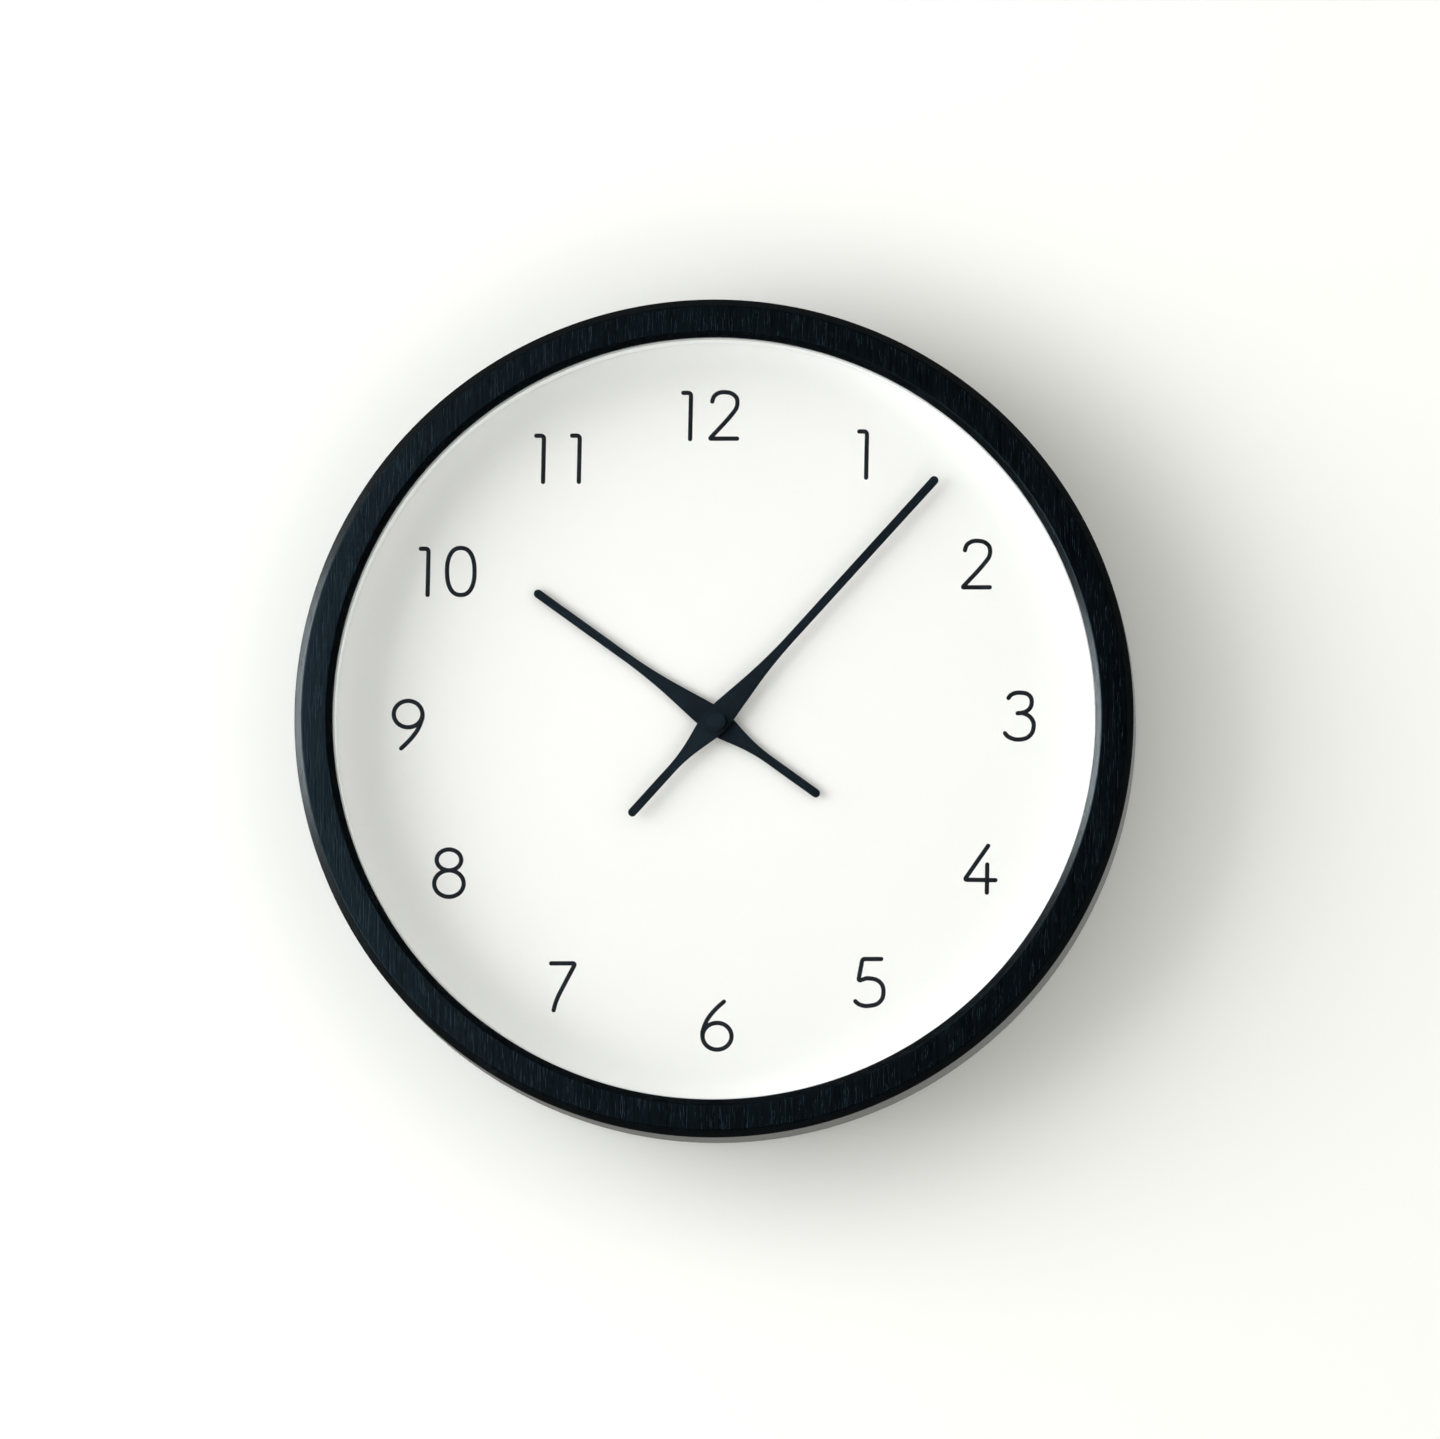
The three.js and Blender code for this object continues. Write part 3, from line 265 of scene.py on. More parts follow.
def soften(piece, width, segments=2, degrees=40):
    """Rounds every edge sharper than an angle."""
    modified(
        piece,
        "BEVEL",
        width=width,
        segments=segments,
        limit_method="ANGLE",
        angle_limit=math.radians(degrees),
        use_clamp_overlap=True,
    )


def copied(piece, name, change):
    """A copy with its own mesh, moved in its mesh."""
    twin = piece.copy()
    twin.data = piece.data.copy()
    twin.name = name
    twin.data.name = name
    bpy.context.scene.collection.objects.link(twin)
    twin.data.transform(change)
    return twin


def turn_about(place, degrees):
    """A turn about the axis through a place, clockwise as the dial is seen."""
    there = Matrix.Translation((place.x, 0, place.z))
    return there @ Matrix.Rotation(math.radians(degrees), 4, "Y") @ there.inverted()


def arc(centre, radius, start, end, steps):
    """Points on an arc, by angle in degrees from +X towards +Z."""
    angles = [math.radians(start + (end - start) * i / steps) for i in range(steps + 1)]
    return [(centre[0] + radius * math.cos(a), centre[1] + radius * math.sin(a)) for a in angles]


def new_sheet(name, loops, front, back, edge):
    """A flat sheet with outlines in x and z about the clock's centre, and rounded edges."""
    flat = bpy.data.curves.new(name, "CURVE")
    flat.dimensions = "2D"
    flat.fill_mode = "BOTH"
    flat.extrude = (back - front) / 2 - edge
    flat.bevel_depth = edge
    flat.bevel_resolution = 2
    flat.offset = -edge
    for loop in loops:
        spline = flat.splines.new("POLY")
        spline.points.add(len(loop) - 1)
        for point, (x, z) in zip(spline.points, loop):
            point.co = (x, z, 0, 1)
        spline.use_cyclic_u = True
    piece = bpy.data.objects.new(name, flat)
    bpy.context.scene.collection.objects.link(piece)
    only(piece)
    bpy.ops.object.convert(target="MESH")
    piece = bpy.context.object
    piece.rotation_euler = (math.pi / 2, 0, 0)
    piece.location = (CENTRE.x, (front + back) / 2, CENTRE.z)
    piece = settle(name)
    with editing(piece):
        close_shape()
    return piece


def finish_piece(piece, body, material, nodes=()):
    """Paints a piece, puts it on its body and hides the CAD nodes that it stands for."""
    piece.data.materials.clear()
    piece.data.materials.append(material)
    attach(piece, body)
    if nodes:
        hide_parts(*nodes)


# ---------------------------------------------------------------- shader groups

def srgb(red, green, blue):
    """A linear colour from the 0 to 255 values that a screen shows."""
    def straight(value):
        share = value / 255
        return share / 12.92 if share <= 0.04045 else ((share + 0.055) / 1.055) ** 2.4

    return (straight(red), straight(green), straight(blue), 1)


def new_group(name, inputs, outputs):
    """An empty shader group with its named sockets."""
    group = bpy.data.node_groups.new(name, "ShaderNodeTree")
    for label, kind, value in inputs:
        socket = group.interface.new_socket(label, in_out="INPUT", socket_type=kind)
        socket.default_value = value
    for label, kind in outputs:
        group.interface.new_socket(label, in_out="OUTPUT", socket_type=kind)
    start = group.nodes.new("NodeGroupInput")
    end = group.nodes.new("NodeGroupOutput")
    return group, start, end


def math_node(tree, operation, first, second=None, clamp=False):
    node = tree.nodes.new("ShaderNodeMath")
    node.operation = operation
    node.use_clamp = clamp
    for socket, value in zip(node.inputs, (first, second)):
        if value is None:
            continue
        if isinstance(value, (int, float)):
            socket.default_value = value
        else:
            tree.links.new(value, socket)
    return node.outputs[0]


def ramp_node(tree, value, low, high):
    """0 below low and 1 above high, straight between them."""
    node = tree.nodes.new("ShaderNodeMapRange")
    node.inputs["From Min"].default_value = low
    node.inputs["From Max"].default_value = high
    tree.links.new(value, node.inputs["Value"])
    return node.outputs["Result"]


def mix_node(tree, share, first, second):
    node = tree.nodes.new("ShaderNodeMix")
    node.data_type = "RGBA"
    for socket, value in ((node.inputs[0], share), (node.inputs[6], first), (node.inputs[7], second)):
        if isinstance(value, (int, float, tuple)):
            socket.default_value = value
        else:
            tree.links.new(value, socket)
    return node.outputs[2]


def mix_shader(tree, share, first, second):
    node = tree.nodes.new("ShaderNodeMixShader")
    for socket, value in zip(node.inputs, (share, first, second)):
        tree.links.new(value, socket)
    return node.outputs[0]


def between(tree, share, low, high):
    """A value that is low where a share is 0 and high where it is 1."""
    return math_node(tree, "ADD", math_node(tree, "MULTIPLY", share, high - low), low)


def object_point(tree, stretch=(1, 1, 1)):
    """The point on the piece in its own coordinates, stretched by an amount along each axis."""
    coordinates = tree.nodes.new("ShaderNodeTexCoord")
    mapping = tree.nodes.new("ShaderNodeMapping")
    mapping.inputs["Scale"].default_value = stretch
    tree.links.new(coordinates.outputs["Object"], mapping.inputs["Vector"])
    return mapping.outputs["Vector"]


def noise_node(tree, point, scale, detail=4, roughness=0.55):
    node = tree.nodes.new("ShaderNodeTexNoise")
    node.inputs["Detail"].default_value = detail
    node.inputs["Roughness"].default_value = roughness
    if isinstance(scale, (int, float)):
        node.inputs["Scale"].default_value = scale
    else:
        tree.links.new(scale, node.inputs["Scale"])
    tree.links.new(point, node.inputs["Vector"])
    return node.outputs[0]


def make_mottle_group():
    """Soft uneven colour between two tones, with a finer grain for roughness and bump."""
    group, start, end = new_group(
        "mottle",
        [
            ("Light", "NodeSocketColor", (0.8, 0.8, 0.8, 1)),
            ("Dark", "NodeSocketColor", (0.6, 0.6, 0.6, 1)),
            ("Cloud Scale", "NodeSocketFloat", 30.0),
            ("Grain Scale", "NodeSocketFloat", 1500.0),
        ],
        [("Color", "NodeSocketColor"), ("Cloud", "NodeSocketFloat"), ("Grain", "NodeSocketFloat")],
    )
    point = object_point(group)
    cloud = ramp_node(group, noise_node(group, point, start.outputs["Cloud Scale"]), 0.3, 0.7)
    grain = noise_node(group, point, start.outputs["Grain Scale"], detail=2)
    colour = mix_node(group, cloud, start.outputs["Dark"], start.outputs["Light"])
    group.links.new(colour, end.inputs["Color"])
    group.links.new(cloud, end.inputs["Cloud"])
    group.links.new(grain, end.inputs["Grain"])
    return group


def make_wear_group():
    """A mask that is 1 where an outer edge has been rubbed, broken up by noise."""
    group, start, end = new_group(
        "edge_wear",
        [("Reach", "NodeSocketFloat", 0.06), ("Break Up", "NodeSocketFloat", 300.0)],
        [("Wear", "NodeSocketFloat")],
    )
    geometry = group.nodes.new("ShaderNodeNewGeometry")
    sharp = math_node(group, "SUBTRACT", geometry.outputs["Pointiness"], 0.5)
    edge = math_node(group, "DIVIDE", sharp, start.outputs["Reach"], clamp=True)
    patches = noise_node(group, object_point(group), start.outputs["Break Up"])
    patches = ramp_node(group, patches, 0.35, 0.65)
    group.links.new(math_node(group, "MULTIPLY", edge, patches, clamp=True), end.inputs["Wear"])
    return group


def make_dust_group():
    """A mask that is 1 where fine dust has settled on faces that look up."""
    group, start, end = new_group(
        "dust",
        [("Amount", "NodeSocketFloat", 0.3)],
        [("Dust", "NodeSocketFloat")],
    )
    geometry = group.nodes.new("ShaderNodeNewGeometry")
    split = group.nodes.new("ShaderNodeSeparateXYZ")
    group.links.new(geometry.outputs["Normal"], split.inputs[0])
    upward = ramp_node(group, split.outputs["Z"], 0.35, 1)
    specks = ramp_node(group, noise_node(group, object_point(group), 900, detail=3), 0.42, 0.72)
    amount = math_node(group, "MULTIPLY", upward, start.outputs["Amount"])
    group.links.new(math_node(group, "MULTIPLY", amount, specks, clamp=True), end.inputs["Dust"])
    return group


MOTTLE = make_mottle_group()
WEAR = make_wear_group()
DUST = make_dust_group()


# ---------------------------------------------------------------- materials

def place_group(tree, group, **values):
    """Puts a shared group in a material with its own values. Names use _ for a space."""
    node = tree.nodes.new("ShaderNodeGroup")
    node.node_tree = group
    for key, value in values.items():
        node.inputs[key.replace("_", " ")].default_value = value
    return node


def new_material(name, **plain):
    """A material with one Principled shader and its plain values."""
    material = bpy.data.materials.new(name)
    material.use_nodes = True
    shader = material.node_tree.nodes["Principled BSDF"]
    for key, value in plain.items():
        shader.inputs[key.replace("_", " ")].default_value = value
    return material, material.node_tree, shader


def feed(tree, shader, colour, height, depth, roughness=None):
    """Gives a shader its colour, a bump of some depth and, where it varies, its roughness."""
    tree.links.new(colour, shader.inputs["Base Color"])
    if roughness is not None:
        tree.links.new(roughness, shader.inputs["Roughness"])
    bump = tree.nodes.new("ShaderNodeBump")
    bump.inputs["Distance"].default_value = depth
    tree.links.new(height, bump.inputs["Height"])
    tree.links.new(bump.outputs["Normal"], shader.inputs["Normal"])


DUST_COLOUR = srgb(150, 148, 142)


def finished_surface(name, light, dark, roughness, grain_depth, cloud=30, grain=1500, wear=None,
                     wear_colour=None, dust=0.0, **plain):
    """A painted, moulded or plated surface: uneven tone, fine grain, rubbed edges and dust.

    roughness is its lowest and highest value over the surface."""
    material, tree, shader = new_material(name, **plain)
    mottle = place_group(tree, MOTTLE, Light=light, Dark=dark, Cloud_Scale=cloud, Grain_Scale=grain)
    colour = mottle.outputs["Color"]
    if wear:
        rubbed = place_group(tree, WEAR, Reach=wear)
        colour = mix_node(tree, rubbed.outputs["Wear"], colour, wear_colour)
    if dust:
        settled = place_group(tree, DUST, Amount=dust)
        colour = mix_node(tree, settled.outputs["Dust"], colour, DUST_COLOUR)
    grain_height = mottle.outputs["Grain"]
    feed(tree, shader, colour, grain_height, grain_depth, between(tree, grain_height, *roughness))
    return material


def make_stained_wood():
    """Fine straight-grained wood under a thin blue-black stain, with open pores."""
    material, tree, shader = new_material("stained_wood", Specular_IOR_Level=0.06)
    along = object_point(tree, (1, 1, 0.045))
    fibres = noise_node(tree, along, 1300, detail=5, roughness=0.6)
    bands = noise_node(tree, object_point(tree, (1, 1, 0.12)), 120, detail=2)
    pores = noise_node(tree, object_point(tree, (1, 1, 0.07)), 2100, detail=2)
    pores = ramp_node(tree, pores, 0.6, 0.72)
    fine = math_node(tree, "MULTIPLY", fibres, 0.65)
    tone = math_node(tree, "ADD", fine, math_node(tree, "MULTIPLY", bands, 0.35))
    colour = mix_node(tree, ramp_node(tree, tone, 0.36, 0.66), srgb(0, 1, 2), srgb(5, 11, 15))
    colour = mix_node(tree, pores, colour, srgb(0, 2, 3))
    rubbed = place_group(tree, WEAR, Reach=0.1, Break_Up=420.0)
    worn = math_node(tree, "MULTIPLY", rubbed.outputs["Wear"], 0.2)
    colour = mix_node(tree, worn, colour, srgb(40, 50, 58))
    height = math_node(tree, "SUBTRACT", fibres, math_node(tree, "MULTIPLY", pores, 0.8))
    feed(tree, shader, colour, height, 0.04 * MM, between(tree, fibres, 0.24, 0.38))
    return material


def make_clear_glass():
    """Clear float glass that lets lamps through to the dial."""
    material, tree, shader = new_material(
        "clear_glass", Base_Color=(0.998, 1.0, 0.999, 1), Roughness=0.0, IOR=1.5,
        Transmission_Weight=1.0,
    )
    paths = tree.nodes.new("ShaderNodeLightPath")
    through = tree.nodes.new("ShaderNodeBsdfTransparent")
    through.inputs["Color"].default_value = (0.995, 1.0, 0.998, 1)
    passing = math_node(tree, "MAXIMUM", paths.outputs["Is Shadow Ray"], paths.outputs["Is Diffuse Ray"])
    pick = mix_shader(tree, passing, shader.outputs[0], through.outputs[0])
    tree.links.new(pick, tree.nodes["Material Output"].inputs["Surface"])
    return material


BAND_SHARE = 0.3  # of the battery's length
BAND_EDGE = 0.2 * MM


def make_battery_jacket():
    """A printed foil sleeve: dark over most of its length, a copper band by the button."""
    material, tree, shader = new_material("battery_jacket", Metallic=0.55)
    split = tree.nodes.new("ShaderNodeSeparateXYZ")
    tree.links.new(object_point(tree), split.inputs[0])
    low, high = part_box("battery")
    band_end = low.x + (high.x - low.x) * BAND_SHARE
    share = ramp_node(tree, split.outputs["X"], band_end, band_end + BAND_EDGE)
    mottle = place_group(tree, MOTTLE, Light=srgb(24, 46, 92), Dark=srgb(18, 36, 76), Cloud_Scale=60.0)
    colour = mix_node(tree, share, srgb(190, 128, 74), mottle.outputs["Color"])
    grain = mottle.outputs["Grain"]
    feed(tree, shader, colour, grain, 0.004 * MM, between(tree, grain, 0.24, 0.36))
    return material


def make_hardboard():
    """Pressed brown fibre board with short fibres showing in its face."""
    material, tree, shader = new_material("hardboard")
    fibres = noise_node(tree, object_point(tree, (1, 1, 3)), 700, detail=6, roughness=0.7)
    cross = noise_node(tree, object_point(tree, (3, 1, 1)), 500, detail=6, roughness=0.7)
    half = math_node(tree, "MULTIPLY", fibres, 0.5)
    mixed = math_node(tree, "ADD", half, math_node(tree, "MULTIPLY", cross, 0.5))
    broad = place_group(tree, MOTTLE, Light=srgb(150, 112, 76), Dark=srgb(126, 92, 60), Cloud_Scale=14.0)
    strands = math_node(tree, "MULTIPLY", ramp_node(tree, mixed, 0.42, 0.62), 0.55)
    colour = mix_node(tree, strands, broad.outputs["Color"], srgb(86, 60, 38))
    feed(tree, shader, colour, mixed, 0.06 * MM, between(tree, mixed, 0.55, 0.85))
    return material


def make_coil_copper():
    """Fine enamelled wire wound round the bobbin, with painted shade between its turns."""
    material, tree, shader = new_material("coil_copper", Metallic=0.9, Roughness=0.32)
    wave = tree.nodes.new("ShaderNodeTexWave")
    wave.bands_direction = "Z"
    wave.inputs["Scale"].default_value = 2400
    wave.inputs["Distortion"].default_value = 0.6
    tree.links.new(object_point(tree), wave.inputs["Vector"])
    # painted shade: the copper darkens where the bump dips between the wire's turns
    colour = mix_node(tree, wave.outputs["Fac"], srgb(112, 48, 22), srgb(205, 112, 62))
    feed(tree, shader, colour, wave.outputs["Fac"], 0.03 * MM)
    return material


STAINED_WOOD = make_stained_wood()
CLEAR_GLASS = make_clear_glass()
JACKET = make_battery_jacket()
HARDBOARD = make_hardboard()
COPPER = make_coil_copper()
DIAL_PAINT = finished_surface(
    "dial_paint", srgb(250, 249, 247), srgb(248, 247, 245), (0.5, 0.62), 0.004 * MM, cloud=12,
    grain=2600,
    Specular_IOR_Level=0.04,
)
SPACER_WHITE = finished_surface(
    "spacer_white", srgb(247, 248, 247), srgb(243, 244, 243), (0.42, 0.55), 0.006 * MM, cloud=40,
    Specular_IOR_Level=0.04,
)
NUMERAL_INK = finished_surface(
    "numeral_ink", srgb(30, 30, 33), srgb(24, 24, 27), (0.5, 0.65), 0.003 * MM, cloud=400, grain=4000,
    Specular_IOR_Level=0.04,
)
HAND_BLACK = finished_surface(
    "hand_black", srgb(7, 13, 17), srgb(4, 9, 12), (0.5, 0.64), 0.006 * MM, cloud=90, grain=3200,
    wear=0.12, wear_colour=srgb(16, 24, 30), Specular_IOR_Level=0.05,
)
CASE_BLACK = finished_surface(
    "case_black", srgb(34, 35, 37), srgb(26, 27, 29), (0.42, 0.6), 0.02 * MM, cloud=60, grain=2400,
    wear=0.1, wear_colour=srgb(64, 65, 67), dust=0.25,
)
COVER_BLACK = finished_surface(
    "cover_black", srgb(38, 39, 41), srgb(30, 31, 33), (0.5, 0.68), 0.03 * MM, cloud=50, grain=1900,
    wear=0.1, wear_colour=srgb(70, 71, 73), dust=0.2,
)
KNOB_GREY = finished_surface(
    "knob_grey", srgb(72, 74, 78), srgb(60, 62, 66), (0.4, 0.55), 0.01 * MM, cloud=150,
    wear=0.1, wear_colour=srgb(112, 114, 118),
)
ZINC_STEEL = finished_surface(
    "zinc_steel", srgb(196, 198, 202), srgb(158, 162, 168), (0.22, 0.42), 0.008 * MM, cloud=220,
    grain=3000, wear=0.15, wear_colour=srgb(222, 222, 222), Metallic=1.0,
)
GEAR_WHITE = finished_surface(
    "gear_white", srgb(232, 228, 216), srgb(220, 215, 200), (0.4, 0.55), 0.005 * MM, cloud=300,
)
ARBOR_BRASS = finished_surface(
    "arbor_brass", srgb(214, 180, 104), srgb(188, 150, 78), (0.22, 0.4), 0.004 * MM, cloud=260,
    Metallic=1.0,
)
MAGNET_FERRITE = finished_surface(
    "magnet_ferrite", srgb(54, 54, 57), srgb(38, 38, 41), (0.45, 0.6), 0.01 * MM, cloud=400,
    Metallic=0.3,
)
CIRCUIT_GREEN = finished_surface(
    "circuit_green", srgb(34, 98, 60), srgb(22, 72, 44), (0.3, 0.45), 0.006 * MM, cloud=500,
)
BOBBIN_WHITE = finished_surface(
    "bobbin_white", srgb(226, 226, 220), srgb(214, 214, 206), (0.4, 0.55), 0.005 * MM, cloud=200,
)


# ---------------------------------------------------------------- rim, glass and dial

def make_rim():
    """Turned ring: lip and rabbet, chamfered outside, bevelled opening, sanded corners."""
    rabbet = OPENING_RADIUS + RABBET_WIDTH
    lip_back = RIM_FRONT + LIP_THICKNESS
    rim = new_section("rim", OPENING_RADIUS, RIM_RADIUS, RIM_FRONT, lip_back)
    with editing(rim):
        take_all()
        bpy.ops.mesh.bisect(plane_co=(CENTRE.x + rabbet, 0, CENTRE.z), plane_no=(1, 0, 0))
        choose("EDGE", lambda at, _: at.x > CENTRE.x + rabbet and near(at.y, lip_back))
        push(RIM_BACK - lip_back)
        cut_corner(RIM_RADIUS, RIM_FRONT, OUTER_CHAMFER)
        cut_corner(OPENING_RADIUS, RIM_FRONT, OPENING_BEVEL)
        cut_corner(RIM_RADIUS, RIM_BACK, BACK_CHAMFER)
        for radius, depth in (
            (RIM_RADIUS, RIM_FRONT + OUTER_CHAMFER),
            (RIM_RADIUS - OUTER_CHAMFER, RIM_FRONT),
            (OPENING_RADIUS + OPENING_BEVEL, RIM_FRONT),
            (OPENING_RADIUS, RIM_FRONT + OPENING_BEVEL),
            (OPENING_RADIUS, lip_back),
            (RIM_RADIUS, RIM_BACK - BACK_CHAMFER),
            (RIM_RADIUS - BACK_CHAMFER, RIM_BACK),
            (rabbet, RIM_BACK),
        ):
            cut_corner(radius, depth, TURNED_EASE, segments=3)
        spin_round()
    pocket_front = depths("hanger_plate")[0] - FIT_GAP
    pocket = new_sheet("hanger_pocket", [hanger_outline(FIT_GAP)], pocket_front, CUT_PAST, 0)
    slots = [new_tab_slot(index) for index in range(1, TAB_COUNT + 1)]
    bores = []
    for side in (-1, 1):
        turn = math.radians(side * HANGER_SCREW_TURN)
        place = CENTRE + Vector((math.sin(turn), 0, math.cos(turn))) * HANGER_SCREW_RADIUS
        bores.append(new_rod("hanger_bore", SCREW_BORE, -HANGER_BORE_DEPTH, CUT_PAST, place, BORE_STEPS))
    cut_away(rim, pocket, *slots)
    cut_away(rim, *bores)
    shade(rim, 25)
    finish_piece(rim, "case", STAINED_WOOD, ["frame_ring"])


GROUND_EDGE = 0.25 * MM


def make_glass():
    """A round pane with a ground edge."""
    front, back = depths("front_glass")
    bpy.ops.object.select_all(action="DESELECT")
    bpy.ops.mesh.primitive_circle_add(
        vertices=ROUND_STEPS,
        radius=INSERT_RADIUS,
        fill_type="NGON",
        location=(CENTRE.x, front, CENTRE.z),
        rotation=(math.pi / 2, 0, 0),
    )
    pane = settle("glass_pane")
    with editing(pane):
        take_all()
        push(back - front)
        close_shape()
        choose("EDGE", lambda at, along: abs(along.normalized().y) < 0.5)
        bpy.ops.mesh.bevel(offset=GROUND_EDGE, segments=2)
        close_shape()
    shade(pane, 10)
    finish_piece(pane, "case", CLEAR_GLASS, ["front_glass"])


def make_flat_ring(name, inner, outer, front, back, ease):
    """A turned ring or a pierced disc with eased edges."""
    ring = new_section(name, inner, outer, front, back)
    with editing(ring):
        for radius in (inner, outer):
            for depth in (front, back):
                cut_corner(radius, depth, ease, segments=2)
        spin_round()
    shade(ring, 25)
    return ring


def make_dial_parts():
    front, back = depths("spacer_ring")
    wall = make_flat_ring("dial_wall", SPACER_BORE, INSERT_RADIUS, front, back, ease=0.2 * MM)
    finish_piece(wall, "case", SPACER_WHITE, ["spacer_ring"])
    face = make_flat_ring("dial_face", ARBOR_HOLE, INSERT_RADIUS, DIAL_FRONT, DIAL_BACK, ease=0.08 * MM)
    finish_piece(face, "case", DIAL_PAINT, ["dial_plate"])
    board = make_flat_ring(
        "back_board", ARBOR_HOLE, INSERT_RADIUS, BOARD_FRONT, BOARD_BACK, ease=0.3 * MM
    )
    bores = []
    for side in (-1, 1):
        place = CENTRE + Vector((side * LUG_REACH, 0, 0))
        front, back = BOARD_FRONT - CUT_PAST, BOARD_BACK + CUT_PAST
        bores.append(new_rod("lug_bore", SCREW_BORE, front, back, place, BORE_STEPS))
    cut_away(board, *bores)
    finish_piece(board, "case", HARDBOARD, ["backing_board"])


# ---------------------------------------------------------------- numerals

NUMERAL_RADIUS = 110.8 * MM  # from the centre to the middle of each numeral
STROKE = 1.6 * MM
PRINT_TURN = -0.65  # degrees: the print is a little turned and off centre
PRINT_SHIFT = Vector((-0.9 * MM, 0, 0.5 * MM))
INK_PROUD = 0.06 * MM
CAP_STEPS = 6
PAIR_NARROW = 13.2  # between the middles of a one and a wide digit, in millimetres
PAIR_ONES = 13.0
PAIR_LEFT_SHARE = 0.63  # of that distance, for the one
HANDLE_SHARE = 0.39  # of the stretch beside a point
END_HANDLE_SHARE = 0.36
CORNER_SHARE = 0.55  # of a rounded corner's size
STRETCH_POINTS = 14
RING_STEPS = 72
TALL_RING_POWER = 0.86  # under 1 is squarer than an ellipse

# Each digit is a list of strokes in millimetres about its own middle. A point is (x, z),
# or (x, z, r) for a corner that is rounded by r. A ring is (x, z, half width, half height).
DIGITS = {
    "0": {"rings": [(0, 0, 5.0, 8.55)]},
    "1": {"strokes": [[(-1.3, 8.3), (1.5, 8.3, 1.1), (1.15, -8.5)]]},
    "2": {"strokes": [[
        (-4.0, 5.1), (-2.7, 7.6), (0.7, 8.5), (4.2, 7.2), (5.1, 4.4), (3.9, 1.4),
        (-4.9, -8.4, 0.5), (5.0, -8.4),
    ]]},
    "3": {"strokes": [
        [(-3.7, 6.6), (-2.3, 8.0), (0.7, 8.5), (3.7, 7.6), (4.7, 5.1), (3.4, 2.2), (-0.4, 1.05)],
        [
            (-0.4, 1.05), (2.0, 0.9), (4.6, -0.9), (5.4, -3.9), (3.9, -7.2), (0.3, -8.5),
            (-3.2, -7.8), (-5.0, -6.2),
        ],
    ]},
    "4": {"strokes": [
        [(3.1, 8.5), (-5.5, -3.8, 0.9), (5.7, -4.0)],
        [(2.75, 1.7), (2.6, -8.5)],
    ]},
    "5": {"strokes": [[
        (4.4, 8.5), (-2.4, 8.5, 0.8), (-3.9, 0.6, 0.9), (-0.2, 1.5), (3.9, 0.1), (5.2, -3.6),
        (3.7, -7.2), (-0.2, -8.5), (-3.2, -8.1), (-5.0, -6.8),
    ]]},
    "6": {
        "strokes": [[(2.6, 8.6), (-2.7, 3.2), (-5.0, -1.7), (-5.15, -4.1)]],
        "rings": [(0.1, -3.95, 5.25, 4.85)],
    },
    "7": {"strokes": [[(-4.5, 8.4), (4.3, 8.4, 1.0), (0.6, 1.4), (-2.4, -4.6), (-3.6, -8.6)]]},
    "8": {"rings": [(-0.6, 5.95, 4.45, 3.8), (-0.6, -2.65, 5.35, 4.8)]},
    "9": {
        "strokes": [[(-2.5, -8.7), (2.7, -3.1), (5.0, 1.7), (5.25, 4.0)]],
        "rings": [(0.0, 3.75, 5.2, 4.8)],
    },
}


def smooth_line(points):
    """Points along a stroke: smooth through plain points, and rounded at its corners."""
    knots = []
    for index, point in enumerate(points):
        here = Vector(point[:2])
        if len(point) == 2:
            knots.append([here, None, None])
            continue
        before = Vector(points[index - 1][:2])
        after = Vector(points[index + 1][:2])
        entry = here + (before - here).normalized() * point[2]
        leave = here + (after - here).normalized() * point[2]
        inward = (here - entry) * CORNER_SHARE
        outward = (here - leave) * CORNER_SHARE
        knots.append([entry, (before - entry) / 3, inward])
        knots.append([leave, outward, (after - leave) / 3])
    for index, knot in enumerate(knots):
        if knot[1] is not None:
            continue
        first, last = index == 0, index == len(knots) - 1
        before = knots[index - 1][0] if not first else knot[0]
        after = knots[index + 1][0] if not last else knot[0]
        along = (after - before).normalized()
        knot[1] = -along * (knot[0] - before).length * HANDLE_SHARE
        knot[2] = along * (after - knot[0]).length * HANDLE_SHARE
    if knots[0][2].length and len(knots) > 2:
        knots[0][2] = lean_to(knots[0], knots[1], 1)
        knots[-1][1] = lean_to(knots[-1], knots[-2], -1)
    line = []
    for first, second in zip(knots, knots[1:]):
        handles = first[0] + first[2], second[0] + second[1]
        stretch = interpolate_bezier(first[0], *handles, second[0], STRETCH_POINTS)
        line += stretch if not line else stretch[1:]
    return line


def lean_to(end, neighbour, side):
    """An end's handle points at its neighbour's own handle, so the stroke keeps curving."""
    arm = neighbour[1] if side > 0 else neighbour[2]
    towards = neighbour[0] + arm - end[0]
    return towards.normalized() * (neighbour[0] - end[0]).length * END_HANDLE_SHARE


